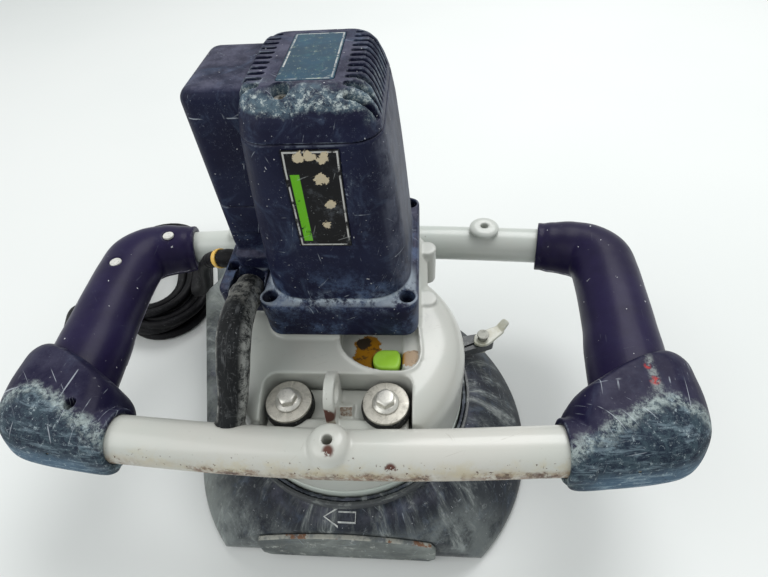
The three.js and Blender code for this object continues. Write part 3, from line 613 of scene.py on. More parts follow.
def plug_space(thing):
    """Lays a shape drawn along +z down into the plug's place."""
    base = Vector((0, -MID_Y / 1000, 0))
    move = Matrix.Translation(at(*PLUG_PLACE)) @ Matrix.Rotation(radians(PLUG_TURN), 4, "Z")
    move = move @ Matrix.Rotation(radians(90), 4, "X") @ Matrix.Translation(-base)
    thing.data.transform(move)
    return thing


cord_rubber = rubbery("cord_rubber", (0.0025, 0.0025, 0.0035), 0.22)
cord = make_cord()
cord.data.materials.append(cord_rubber)
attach(cord, "machine")
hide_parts("cord_lead", "cord_hank", "cord_tail")


def make_relief():
    path = smooth_path([(-64, 46, 152)] + CORD_LEAD[:4], 40)
    body = sweep("strain_relief_sleeve", path, [(r, r) for r in (6.2, 6.2, 6.6, 6, 5.5, 5)])
    rings = []
    for i in range(12, 40, 4):
        a, b = path[i], path[i + 1]
        rings.append(bar("rib", a, a + (b - a) * 1.2, 7 - 0.04 * i, 40))
    weld(body, *rings)
    cast(body, 0.5, 2)
    return finish_piece(body, cord_rubber, "black_rubber", "strain_relief")


def make_plug():
    profile = soften([(0, 0), (5.8, 0), (7, 8), (9, 16), (17.3, 22), (18.5, 27), (18.5, 43), (17, 47),
                      (0, 47)], 2.2)
    body = turned("plug_body", profile, 72)
    for sign in (-1, 1):
        carve(body, prism("flat", box(sign * 15.8, sign * 30, -30, 30), 24, 60),
              prism("groove", box(-4, 4, sign * 17.2, sign * 22), 30, 60))
    for i in range(4):
        carve(body, turned("rib", box(7 + 0.7 * i, 12, 3 + 3 * i, 4.4 + 3 * i), 48))
    cast(body, 0.5, 2)
    plug_space(body)
    finish_piece(body, cord_rubber, "black_rubber", "plug")
    pins = []
    for side, x in (("left", -9.5), ("right", 9.5)):
        profile = soften([(0, 44), (2.4, 44), (2.4, 65), (1.4, 66), (0, 66)], 0.8)
        pin = crisp(plug_space(turned("plug_pin_" + side, profile, 32, x, 0)))
        nickel = bare_metal("pin_nickel", (0.7, 0.68, 0.62), 0.25, 0.2)
        pins.append(finish_piece(pin, nickel, "black_rubber"))
    return [body] + pins


def make_marker():
    path = smooth_path(CORD_LEAD, 60)
    spot = path[8:11]
    band = sweep("cord_marker", spot, [(6.9, 6.9), (6.7, 6.7)], 40)
    f = Finish("marker_yellow", (0.8, 0.5, 0.1), 0.5)
    f.layer(f.blot(0.5, 0.66, 300, 5), (0.35, 0.22, 0.07), 0.7)
    f.layer((f.blot(0.62, 0.7, 700, 3, seed=2), 0.7), (0.8, 0.75, 0.62), 0.7)
    return finish_piece(cast(band, 0.35, 2), f.done(), "black_rubber")


relief = make_relief()
plug_parts = make_plug()
marker = make_marker()


# ------------------------------------------------------------ driving dimensions of the machine
FLANGE_BOTTOM, FLANGE_TOP = 134, 163
CAP_SEAM, MOTOR_TOP = 262, 281
BOX_SEAM, BOX_TOP = 209, 275
DRUM_RADIUS, DRUM_BASE, DRUM_TOP = 76.5, 72, 130.5
TUBE_RADIUS = 13.45
FIT_GAP = 0.3
FRONT_TUBE = [(-160, -66, 119), (-126, -67.5, 119), (-60, -71.5, 119), (0, -73, 119), (60, -71.5, 119),
              (126, -67.5, 119), (160, -66, 119)]
REAR_TUBE = [(-162, 107, 104), (-130, 109.5, 104), (-60, 113.5, 104), (0, 115, 104), (60, 113.5, 104),
             (130, 109.5, 104), (162, 107, 104)]
SLEEVE = [(-58, 19, 155), (-57, 2, 160), (-56, -14, 163), (-55, -27, 161), (-55, -38, 152), (-56, -48, 139),
          (-58, -56.5, 128), (-60, -63, 120)]
SLEEVE_RADII = [(8.6, 8.6), (9.2, 9.2), (9.6, 9.6), (9.6, 9.6), (9.2, 9.2), (8.4, 8.4), (8, 8), (7.8, 7.8)]
FLANGE = rounded_rect(-46, 47, -6, 98, 9)
FLANGE_SCREWS = [(-40.5, 3.3), (40.5, 3.3), (-40.5, 89.5), (40.5, 89.5)]
CAP_SCREWS = [(-12, 18.5, 273.5), (8, 85.5, 273.5)]
BOLTS = [(-28.4, -44), (28.4, -44)]
BUTTON = (28, -15)
LUG = (-43.2, 132.1)
STUDS = [(-154, 100.3, 124.1), (-179.5, 64.5, 129.6)]
MOTOR_SECTIONS = [(150, -43.6, 43.6, -1.4, 93.4, 24), (158, -43, 43, -1, 93, 24),
                  (182, -41, 41, -0.8, 93, 21),
                  (206, -39, 39, -0.6, 93, 19), (228, -37, 37, -0.3, 92.6, 18),
                  (250, -34.8, 34.6, 0.3, 92, 17),
                  (262, -33.6, 32.4, 2.2, 90.8, 15), (270, -33, 30, 6.5, 88.5, 14),
                  (276, -32, 27.5, 12, 86, 13),
                  (279.5, -30.8, 25, 17, 83, 12), (281, -29, 22.5, 20.5, 80.5, 11)]


def motor_skin(name, low, high, extra=0):
    """The tapering motor body between two heights, drawn through its sections."""
    table = np.array(MOTOR_SECTIONS, float)
    even = np.linspace(low, high, 40)
    near_top = np.linspace(max(low, 268), max(high, 268.1), 24)
    heights = np.unique(np.concatenate([even, near_top]))
    heights = heights[(heights >= low) & (heights <= high)]
    rings = []
    for z in heights:
        left, right, front, rear, corner = (np.interp(z, table[:, 0], table[:, k]) for k in range(1, 6))
        outline = rounded_rect(left - extra, right + extra, front - extra, rear + extra, corner + extra, 10)
        rings.append(level(outline, z))
    return loft(name, rings)


def front_face(z):
    table = np.array(MOTOR_SECTIONS, float)
    return float(np.interp(z, table[:, 0], table[:, 3]))


# ------------------------------------------------------------ motor
def motor_marks(f):
    """Worn pale arc along the front edge of the top, a dusty foot, and the right flank painted lighter as
    painted light from the right.
    """
    edge = f.wobble(0.012, 55, 6, 0.7, seed=11)
    height = f.sum(f.xyz[2], edge)
    arc = f.times(f.between(height, 0.2735, 0.2798, 0.0016), f.step(f.xyz[1], -0.012, -0.022))
    shoulder = f.times(f.between(height, 0.268, 0.2755, 0.002), f.step(f.facing[0], 0.4, 0.8), 0.5)
    worn = f.either(arc, shoulder)
    f.layer((worn, f.blot(0.36, 0.56, 90, 9, 0.8, warp=1, seed=12), 0.7), (0.11, 0.17, 0.21), 0.6)
    f.layer((worn, f.blot(0.5, 0.6, 340, 9, 0.85, seed=13), 0.9), (0.5, 0.56, 0.55), 0.65)
    foot = f.times(f.between(f.xyz[2], 0.160, 0.170, 0.005), f.step(f.xyz[1], -0.015, -0.036))
    f.layer((foot, f.blot(0.47, 0.66, 95, 8, 0.8, seed=15), 0.4), (0.3, 0.38, 0.5), 0.7)
    crease = f.times(f.between(f.xyz[2], 0.1628, 0.1652, 0.0009), f.step(f.xyz[1], -0.01, -0.03))
    f.layer((crease, f.blot(0.4, 0.52, 70, 8, 0.8, seed=25), 0.8), (0.45, 0.52, 0.58), 0.7)
    low = f.times(f.step(f.xyz[2], 0.2, 0.165), f.blot(0.48, 0.68, 48, 8, 0.78, seed=16))
    f.layer((low, 0.6), (0.1, 0.15, 0.26), 0.65)
    # painted light: the right-facing flank is lightened in hazy patches, standing in for light falling from
    # the right
    right = f.step(f.facing[0], 0.45, 0.9)
    f.layer((right, f.blot(0.35, 0.65, 60, 7, 0.7, seed=17), 0.4), (0.2, 0.22, 0.28), 0.65)
    seam = f.times(f.between(f.xyz[2], 0.2618, 0.2622, 0.0003), f.step(f.facing[2], 0.7, 0.5))
    f.layer((seam, f.blot(0.52, 0.58, 60, 5, 0.7, seed=19)), (0.4, 0.44, 0.5), 0.7)


NAVY = (0.0058, 0.0068, 0.024)
NAVY_SECOND = (0.009, 0.0115, 0.034)
motor_plastic = worn_plastic("motor_plastic", NAVY, NAVY_SECOND, 0.46, 1, 1, motor_marks)


def label_slab(name, x0, x1, extra, front, back):
    heights = np.linspace(206 - extra, 260 + extra, 12)
    outline = [(front_face(z) + front, z) for z in heights]
    outline += [(front_face(z) + back, z) for z in heights[::-1]]
    return prism(name, outline, x0, x1, "yz")


def make_motor():
    body = soft_block("motor_case", FLANGE, FLANGE_BOTTOM, FLANGE_TOP, 5, 3)
    weld(body, motor_skin("skin", 150, CAP_SEAM))
    for x, y in FLANGE_SCREWS:
        weld(body, cylinder("boss", x, y, 6.4, 150, FLANGE_TOP, 40))
        carve(body, cylinder("hole", x, y, 4.5, 150, 185, 40))
    carve(body, label_slab("recess", -13.6, 13.9, 0.6, -4, 1.1),
          cylinder("inside", 0, MOTOR_Y, 31.5, 200, CAP_SEAM + 1))
    cast(body, 0.8, 3)
    finish_piece(body, motor_plastic, "navy_plastic", "motor_housing")

    cap = carve(motor_skin("motor_top", CAP_SEAM, MOTOR_TOP),
                cylinder("inside", 0, MOTOR_Y, 25, CAP_SEAM - 1, 272))
    cap.data.transform(Matrix.Translation((0, 0, 0.0003)))
    for i in range(12):
        y = 21 + i * 5.6
        carve(cap, prism("vent", rounded_rect(-37, -21.5, y - 1.4, y + 1.4, 1.3, 3), 271, 290))
        y = 15 + i * 5.6
        carve(cap, prism("vent", rounded_rect(15.5, 40, y - 1.5, y + 1.5, 1.4, 3), 266, 290))
    carve(cap, prism("badge_seat", rounded_rect(-15.4, 11.4, 23.6, 77.4, 1.6), 280.1, 290))
    for x, y, z in CAP_SCREWS:
        carve(cap, cylinder("hole", x, y, 4.3, z, 290, 40))
    cast(cap, 0.62, 3)
    finish_piece(cap, motor_plastic, "navy_plastic", "motor_cap")


def film(name, base, frame_box, axes, extra):
    """Printed film with a silver border, scuffed through in places."""
    f = Finish(name, base, 0.32, shine=0.12)
    (x0, x1), (y0, y1) = frame_box
    a, b = f.xyz[axes[0]], f.xyz[axes[1]]
    inner, outer = (f.times(f.between(a, x0 + d, x1 - d, 0.00012), f.between(b, y0 + d, y1 - d, 0.00012))
                    for d in (0.0014, 0.0006))
    border = f.times(outer, f.step(inner, 0.6, 0.4))
    worn_through = f.blot(0.6, 0.5, 120, 6, 0.7, seed=3)
    f.layer((border, worn_through, 0.9), (0.5, 0.5, 0.48), 0.35)
    extra(f, a, b)
    f.layer((f.lines(1000, (0, 70, 0), 0.7, 2.2, 60, 0.5), 0.3), (0.5, 0.52, 0.52), 0.6)
    f.layer((f.lines(900, (25, 20, 0), 0.7, 4.2, 60, 0.5), 0.3), (0.5, 0.52, 0.52), 0.6)
    f.layer((f.blot(0.62, 0.68, 420, 6, 0.75, seed=1), 0.6), (0.5, 0.54, 0.54), 0.6)
    return f.done(0.4, 0.06)


def label_print(f, a, b):
    stripe = f.between(a, -0.0105, -0.0062, 0.0002)
    gaps = f.blot(0.62, 0.54, 190, 6, 0.75)
    f.layer((stripe, f.between(b, 0.2095, 0.2485, 0.0002), gaps), (0.12, 0.4, 0.015), 0.35)
    bays = f.wobble(2.2, 150, 6, 0.72, (1, 1, 1.5), (0, 40, 0), 0.5, 8)
    torn = 0
    for x, z, size in ((-6, 256.5, 3), (0, 257.5, 3), (6, 256.5, 3), (4, 246, 3), (6, 232, 2.6),
                       (2.5, 220, 2)):
        torn = f.either(torn, f.near((x, front_face(z), z), size, 3.5))
    torn = f.step(f.sum(torn, bays), 0.6, 0.66)
    f.layer(torn, (0.5, 0.43, 0.3), 0.75, -0.8)
    grey = f.blot(0.52, 0.68, 90, 8, 0.78, seed=9)
    f.layer((grey, 0.22), (0.2, 0.22, 0.25), 0.6)


def badge_print(f, a, b):
    glow = f.blot(0.4, 0.7, 55, 4, 0.6, seed=2)
    f.layer((glow, 0.6), (0.02, 0.075, 0.13), 0.3)
    f.layer((f.blot(0.5, 0.68, 150, 9, 0.85, seed=5), 0.5), (0.06, 0.15, 0.16), 0.5)
    f.layer((f.blot(0.58, 0.66, 380, 7, 0.85, seed=8), 0.8), (0.42, 0.5, 0.36), 0.6)


def make_films():
    label = label_slab("label_film_piece", -13, 13.3, 0, 0.1, 0.7)
    badge = soft_block("badge_film_piece", rounded_rect(-15, 11, 24, 77, 1.5), 280.3, MOTOR_TOP + 0.1, 0,
                       0.3)
    label_paint = film("label_print", (0.008, 0.008, 0.009), ((-0.013, 0.0133), (0.206, 0.260)), (0, 2),
                       label_print)
    low, high = (24 - MID_Y) / 1000, (77 - MID_Y) / 1000
    badge_paint = film("badge_print", (0.02, 0.05, 0.08), ((-0.015, 0.011), (low, high)), (0, 1),
                       badge_print)
    finish_piece(crisp(label), label_paint, "label_film", "front_label")
    finish_piece(crisp(badge), badge_paint, "badge_film", "top_badge")


def cap_screw(name, x, y, seat, radius, height, material, slot, node):
    profile = soften([(0, seat - 4), (2.3, seat - 4), (2.3, seat + 0.2), (radius, seat + 0.2),
                      (radius, seat + height), (0, seat + height)], 0.7)
    screw = turned(name, profile, 48, x, y)
    lobes = []
    for k in range(36):
        t = 2 * pi * k / 36
        r = radius * (0.47 + 0.09 * cos(6 * t))
        lobes.append((x + r * cos(t), y + r * sin(t)))
    carve(screw, prism("socket", lobes, seat + height - 1.8, seat + height + 1))
    return finish_piece(crisp(screw), material, slot, node)


def make_screws():
    dark = bare_metal("blackened_screw", (0.05, 0.05, 0.055), 0.45, 0.4)
    pale = bare_metal("worn_screw", (0.6, 0.58, 0.53), 0.45, 0.35)
    for place, (x, y) in zip(("front_left", "front_right", "rear_left", "rear_right"), FLANGE_SCREWS):
        cap_screw("screw_" + place, x, y, 150, 4, 3.6, dark, "dark_screw", "flange_screw_" + place)
    cap_screw("screw_cap_front", *CAP_SCREWS[0], 3.8, 2.4, pale, "zinc_steel", "cap_screw_front")
    cap_screw("screw_cap_rear", *CAP_SCREWS[1], 3.8, 2.4, dark, "dark_screw", "cap_screw_rear")


def make_box():
    outline = rounded_rect(-66, -20, 28, 88, 8)
    cover = soft_block("electronics_box", outline, BOX_SEAM + 0.3, BOX_TOP, 0, 6.5, 7)
    carve(cover, motor_skin("skin", 150, MOTOR_TOP, 0.4), cylinder("inside", 0, MOTOR_Y, 34, 150, 300))
    cast(cover, 0.8, 3)
    finish_piece(cover, motor_plastic, "navy_plastic", "electronics_cover")

    lower = soft_block("cable_entry", outline, 172, BOX_SEAM, 8, 0)
    weld(lower, soft_block("neck", rounded_rect(-76, -30, 9, 64, 6), 140, 161, 3, 3),
         soft_block("shoulder", rounded_rect(-65, -30, 24, 64, 5), 155, 176, 0, 2))
    carve(lower, prism("slope", [(0, 166), (30, 176), (30, 190), (0, 190)], -90, -20, "yz"),
          motor_skin("skin", 150, MOTOR_TOP, 0.4),
          soft_block("flange", inset(FLANGE, -0.4), FLANGE_BOTTOM - 10, FLANGE_TOP + 0.4, 0, 0),
          bar("sleeve_way", (-57, 2, 160.5), (-58.5, 27, 154), 11),
          soft_block("hole", rounded_rect(-74.2, -67, 27, 34.5, 1.5), 152, 164, 0, 0),
          bar("cord_way", (-80, 46, 152), (-62, 46, 152), 6.8))
    cast(lower, 0.7, 3)
    finish_piece(lower, motor_plastic, "navy_plastic", "cable_cover")


def sleeve_dust(f):
    """Pale dust along both flanks and rubbed patches near the ends."""
    flank = f.either(f.step(f.facing[0], 0.55, 0.9), f.step(f.facing[0], -0.55, -0.9))
    f.layer((flank, f.blot(0.4, 0.6, 200, 8, 0.8, seed=3), 0.8), (0.4, 0.41, 0.39), 0.85, 0.3)
    grain = f.noise(420, 6, 0.75, (1, 0.16, 0.16), seed=6)
    f.layer((f.step(grain, 0.54, 0.68), 0.4), (0.2, 0.21, 0.22), 0.8, 0.3)
    ends = f.either(f.step(f.xyz[1], -0.056, -0.044), f.step(f.xyz[2], 0.131, 0.122))
    f.layer((ends, f.blot(0.42, 0.6, 160, 7, 0.8, seed=8), 0.6), (0.36, 0.36, 0.33), 0.85, 0.3)


def make_sleeve():
    path = smooth_path(SLEEVE, 90)
    sleeve = sweep("sleeve", path, SLEEVE_RADII, 56)
    for i in (8, 82):
        a, b = path[i], path[i + 3]
        weld(sleeve, bar("collar", a, b, 10 if i < 50 else 8.9, 48))
    cast(sleeve, 0.7, 5)
    finish_piece(sleeve, rubbery("sleeve_rubber", (0.008, 0.009, 0.01), 0.6, sleeve_dust), "black_rubber",
                 "cable_sleeve")


# ------------------------------------------------------------ gear housing
def housing_stains(f):
    """Amber grease either side of the lock button, grey dirt on the wall below the motor flange, and
    painted shadow right under the flange.
    """
    left = f.near((15.5, -12, 123), 9, 6)
    right = f.near((41.5, -15, 124), 6, 5)
    rear = f.near((14, -3, 123), 8, 6)
    bays = f.wobble(1.5, 130, 6, 0.7, seed=2)
    low = f.step(f.xyz[2], 0.1275, 0.1255)
    spread = f.sum(f.either(f.either(left, right), rear), bays)
    grease = f.times(f.step(spread, 0.44, 0.54), low)
    f.layer(grease, (0.36, 0.16, 0.008), 0.3, -0.2)
    f.layer((grease, f.blot(0.55, 0.62, 200, 6, 0.75, seed=4), 0.85), (0.06, 0.03, 0.01), 0.5)
    dark = f.step(f.sum(f.near((12, -1, 124), 6, 5), bays), 0.56, 0.66)
    f.layer((dark, low), (0.03, 0.018, 0.008), 0.6)
    # painted shadow: the housing is painted near black where it sits right under the motor flange
    under = f.times(f.step(f.xyz[2], 0.1345, 0.1362), 0.9)
    f.layer(under, (0.03, 0.03, 0.035), 0.8)
    wall = f.times(f.blot(0.55, 0.7, 80, 7, 0.75, seed=7), f.step(f.xyz[2], 0.127, 0.134), 0.5)
    f.layer(wall, (0.2, 0.22, 0.25), 0.7)


CAST_GREY = (0.5, 0.505, 0.47)
housing_paint = painted("housing_paint", CAST_GREY, housing_stains, 0, 0.5)


def make_housing():
    profile = smooth_path([(DRUM_RADIUS, 108), (76, 114), (74, 119.5), (70.5, 124), (65.5, 127.6),
                           (59, 129.8), (50, DRUM_TOP)], 30)
    rings = [(0, DRUM_BASE), (DRUM_RADIUS - 1, DRUM_BASE),
             (DRUM_RADIUS, DRUM_BASE + 1)] + [tuple(p) for p in profile]
    body = turned("gear_case", rings + [(0, DRUM_TOP)], 128)
    carve(body, prism("flat", box(-90, -64, -90, 90), 82, 140))
    weld(body, soft_block("tower", rounded_rect(-46, 46, -2, 97, 12), 92, FLANGE_BOTTOM - 0.3, 6, 0))
    skirt = [level(rounded_rect(-46 - d, 46 + d, -2 - d, 97 + d * 0.4, 12 + d * 0.5), z)
             for z, d in ((124, 7), (128, 4.2), (131, 2.2), (134, 0.8), (136.5, 0))]
    weld(body, loft("skirt", skirt))
    carve(body, prism("bracket_way", rounded_rect(-43.5, 43.5, -112, -29, 7), 100, 150))
    lens = [(-2, 8), (-1.5, -7), (2, -14), (8, -20), (16, -24.5), (25, -26.8), (34, -27.2), (41, -26),
            (45.5, -22.5), (47.5, -17), (47.8, -11), (47, -4), (46, 8)]
    lens = soften(lens, 5, 4, True)
    weld(body, prism("lip", inset(lens, -1.6), 118, DRUM_TOP + 1.3))
    carve(body, prism("lens_way", lens, 122.3, DRUM_TOP + 8),
          bar("crease", (46, -20.5, 131), (59, -15.5, 130.2), 0.8, 24))
    floor = soft_block("shelf", rounded_rect(37, 60, -24, 14, 6), 110, 126.4, 0, 2)
    weld(body, floor)
    x, y = BUTTON
    carve(body, prism("button_way", rounded_rect(x - 9.7, x + 9.7, y - 7.7, y + 7.7, 6.6), 115, 123.5))
    for x, y in BOLTS:
        carve(body, cylinder("hole", x, y, 3.4, 82, 101))
    carve(body, tube_space(FRONT_TUBE, 2.5))
    for x, y in ((-52, 24), (52, 30), (-52, 74), (52, 78)):
        weld(body, cylinder("pad", x, y, 7, 100, 131.5))
    cast(body, 0.85, 5)
    finish_piece(body, housing_paint, "cast_alloy", "gear_housing")

    outline = soften([(14, 46), (42, 46), (42, 57), (DRUM_RADIUS + 0.1, 57),
                      (DRUM_RADIUS + 0.1, DRUM_BASE - 0.3),
                      (44, DRUM_BASE - 0.3), (44, 66), (26.3, 66), (26.3, 51), (14, 51)], 0.8, 3, True)
    cover = turned("spindle_flange", outline, 160)
    finish_piece(crisp(cover), painted("cover_paint", (0.5, 0.54, 0.5)), "cast_alloy", "spindle_cover")


def make_button():
    x, y = BUTTON
    outline = [(px if px < x + 5.6 else x + 5.6 + (px - x - 5.6) * 0.5, py) for px, py in
               rounded_rect(x - 9, x + 10.5, y - 7, y + 7, 6.6, 10)]
    button = soft_block("lock_cap", outline, 119.8, 126, 0.4, 1.8)
    weld(button, cylinder("stem", x, y, 3, 107, 121))
    cast(button, 0.4, 3)
    f = Finish("lock_green_plastic", (0.34, 0.64, 0.045), 0.38)
    f.layer(f.blot(0.4, 0.7, 120, 4), (0.38, 0.68, 0.07))
    f.layer((f.lines(1100, (50, 70, 0), 0.68, 2), 0.4), (0.6, 0.8, 0.3), 0.6)
    f.layer((f.blot(0.62, 0.7, 300, 5, 0.7), 0.35), (0.2, 0.3, 0.03), 0.6)
    finish_piece(button, f.done(0.3, 0.04), "lock_green", "lock_button", body="lock")


# ------------------------------------------------------------ tubes, bracket, buffers
def tube_rust(f):
    """Rust and dirt along the front of the tube, chips on the boss and the lug."""
    y, z = f.xyz[1], f.xyz[2]
    ahead = f.step(f.facing[1], -0.55, -0.8)
    ragged = f.sum(z, f.wobble(0.006, 120, 6, 0.75, seed=3))
    width = f.blot(0.4, 0.54, 26, 4, 0.6, (1, 0.2, 0.2), seed=3.6)
    low = f.times(f.step(ragged, 0.1275, 0.1235), ahead)
    f.layer((low, f.blot(0.3, 0.6, 60, 6, 0.7, seed=5), 0.6), (0.4, 0.34, 0.24), 0.6)
    line = f.times(f.between(ragged, 0.1155, 0.1232, 0.0014), f.step(f.facing[1], -0.5, -0.75), width)
    f.layer((line, f.blot(0.4, 0.56, 170, 7, 0.75, seed=6), 0.85), (0.19, 0.1, 0.055), 0.8)
    f.layer((line, f.blot(0.5, 0.58, 140, 6, 0.7, seed=8), 0.9), (0.07, 0.03, 0.02), 0.85, -0.4)
    cream = f.times(f.between(ragged, 0.1205, 0.1285, 0.002), f.step(y, -0.11, -0.12))
    f.layer((cream, f.blot(0.42, 0.62, 75, 7, 0.75, seed=9), 0.5), (0.5, 0.44, 0.28), 0.55)
    f.layer((cream, f.blot(0.66, 0.7, 420, 2, 0.6, seed=11)), (0.08, 0.04, 0.025), 0.85, -0.4)
    boss = f.times(f.near((1.2, -78.5, 134.8), 3.6, 0.8), f.blot(0.4, 0.46, 190, 5, 0.7, seed=2))
    lug = f.times(f.near((-4.5, -54.5, 129), 6, 0.8), f.blot(0.36, 0.42, 170, 5, 0.7, seed=6))
    chip = f.times(f.near((33, -82.5, 126), 3.2, 0.8), f.blot(0.47, 0.51, 300, 5, 0.7, seed=7))
    f.layer(f.either(f.either(boss, lug), chip), (0.09, 0.03, 0.02), 0.85, -0.7)


def make_front_tube():
    path = smooth_path(FRONT_TUBE, 80)
    tube = sweep("front_bar", path, [(TUBE_RADIUS, TUBE_RADIUS)] * 2, 72)
    weld(tube, soft_block("plate", rounded_rect(-41.5, 41.5, -78, -30.5, 5), 110, 115, 0, 1.2))
    gusset = [(-41.5, -60), (-30, -48), (30, -48), (41.5, -60), (41.5, -70), (-41.5, -70)]
    upper = inset([(x * 0.98, y - 5) for x, y in gusset], 0.2)
    weld(tube, loft("gusset", [level(gusset, 112), level(upper, 119)]))
    boss = soften([(0, 112), (12.8, 112), (12.4, 129), (10.6, 135), (6.5, 137.4), (0, 137.4)], 3, 5)
    weld(tube, turned("boss", boss, 64, 0, -73))
    arch = [pi * i / 20 for i in range(21)]
    arch = [(LUG[0] + 12.3 * cos(t), LUG[1] + 12.3 * sin(t)) for t in arch]
    weld(tube, prism("lug", arch + [(-58, 112), (-32.5, 112)], -5, 1, "yz"))
    carve(tube, bar("lug_hole", (-10, *LUG), (10, *LUG), 6.3))
    weld(tube, prism("rib", [(-52, 113), (-38, 113), (-45, 121)], 0, 9, "yz"))
    carve(tube, cylinder("thread", 0, -73, 2.9, 119, 150))
    for x, y in BOLTS:
        carve(tube, cylinder("buffer_way", x, y, 10.6, 105, 120))
    wide = [(a + 0.4, b + 0.4) for a, b in SLEEVE_RADII]
    carve(tube, sweep("sleeve_way", smooth_path(SLEEVE, 60), wide, 40))
    cast(tube, 0.75, 5)
    finish_piece(tube, painted("front_bar_paint", (0.54, 0.535, 0.495), tube_rust), "grey_paint",
                 "front_tube")


def make_rear_tube():
    tube = sweep("rear_bar", smooth_path(REAR_TUBE, 80), [(TUBE_RADIUS, TUBE_RADIUS)] * 2, 72)
    profile = soften([(0, 108), (8.4, 108), (7.6, 117), (7.8, 119), (11.6, 119.8), (11.3, 122),
                      (8.6, 123.6), (0, 123.6)], 1.2)
    for x in (-97, 97):
        weld(tube, turned("boss", profile, 64, x, 111.5))
        carve(tube, cylinder("thread", x, 111.5, 2.9, 112, 130))
    cast(tube, 0.75, 4)
    finish_piece(tube, painted("rear_bar_paint", (0.52, 0.54, 0.505)), "grey_paint", "rear_tube")


def make_buffers():
    rubber = rubbery("buffer_rubber", (0.014, 0.014, 0.014), 0.8)
    washer_metal = bare_metal("washer_zinc", (0.56, 0.54, 0.48), 0.5, 0.55, 0.7)
    bolt_metal = bare_metal("bolt_zinc", (0.66, 0.65, 0.6), 0.38, 0.3, 0.8)
    for i, (x, y) in enumerate(BOLTS):
        side = ("left", "right")[i]
        profile = soften([(3.6, 100.4), (14, 100.4), (14, 109.6), (10, 109.8), (10, 115.2), (14.4, 115.5),
                          (14.4, 121.8), (3.6, 121.8)], 1.4, 4, True)
        finish_piece(crisp(turned("rubber_mount_" + side, profile, 96, x, y)), rubber, "black_rubber",
                     "buffer_" + side)
        plate = soften(box(3.6, 13.4, 121.9, 124.1), 0.5, 3, True)
        finish_piece(crisp(turned("washer_" + side, plate, 96, x, y)), washer_metal, "zinc_steel",
                     "buffer_washer_" + side)
        turn = 0.2 + 0.35 * i
        hexagon = soften([(x + 5.8 * cos(k * pi / 3 + turn), y + 5.8 * sin(k * pi / 3 + turn))
                          for k in range(6)], 0.5, 3, True)
        bolt = soft_block("flange_bolt_" + side, hexagon, 125.2, 131.2, 0, 1.1)
        chamfer = soften([(0, 120), (6.3, 120), (6.3, 129.6), (4.4, 131.2), (0, 131.2)], 1)
        common(bolt, turned("dome", chamfer, 64, x, y))
        collar = soften([(0, 118), (3, 118), (3, 124.2), (7.8, 124.2), (7.8, 125.2), (5.6, 126.6),
                         (0, 126.6)], 0.5)
        weld(bolt, turned("collar", collar, 72, x, y))
        finish_piece(crisp(bolt, 28), bolt_metal, "zinc_steel", "buffer_bolt_" + side)


# ------------------------------------------------------------ grips and pods
GRIP = [(139, 108.3, 104), (150, 106, 105), (163, 103, 106.5), (174, 97, 108), (180.5, 86, 110),
        (181, 70, 111),
        (179.5, 48, 112), (177.5, 22, 112), (175, 0, 112), (173.5, -18, 112), (172, -33, 112)]
GRIP_RADII = [(17.8, 17.8), (20, 19.5), (21.6, 20.6), (22.4, 21.2), (22.6, 21), (22.2, 20.6), (22, 20.4),
              (22.2, 20.4), (23.2, 20.8), (23.6, 21), (23.6, 21)]
POD = [(160, -21), (176, -13), (190, -8), (199, -9), (205, -16), (206, -27), (206, -42), (203, -58),
       (197, -68),
       (187, -76), (172, -80), (150, -83), (128, -84.5), (125, -77), (125, -60), (130, -42), (146, -30)]
POD_LOW, POD_HIGH = np.array((168, -42)), np.array((165, -30))
POD_SPLIT = 112
POD_RINGS = [(86, 0.62), (87, 0.68), (90, 0.77), (93.5, 0.83), (97, 0.88), (104, 0.96), (108, 0.99),
             (111, 1),
             (114, 0.995), (118, 0.98), (122, 0.963), (126, 0.94), (130, 0.885), (133, 0.82),
             (135.5, 0.748),
             (137.5, 0.66), (139, 0.57), (139.6, 0.5)]


def side_path(points, sign):
    return [(sign * x, y, z) for x, y, z in points]


def grip_dots(f):
    f.layer((f.blot(0.745, 0.765, 330, 2, 0.5, seed=3), 0.9), WHITE_MARK, 0.6)


GRIP_BASE = (0.0095, 0.0065, 0.03)
grip_plastic = worn_plastic("grip_plastic_worn", GRIP_BASE, (0.013, 0.009, 0.04), 0.36, 0.06, 0.12,
                            grip_dots, 0.02, 0.13)


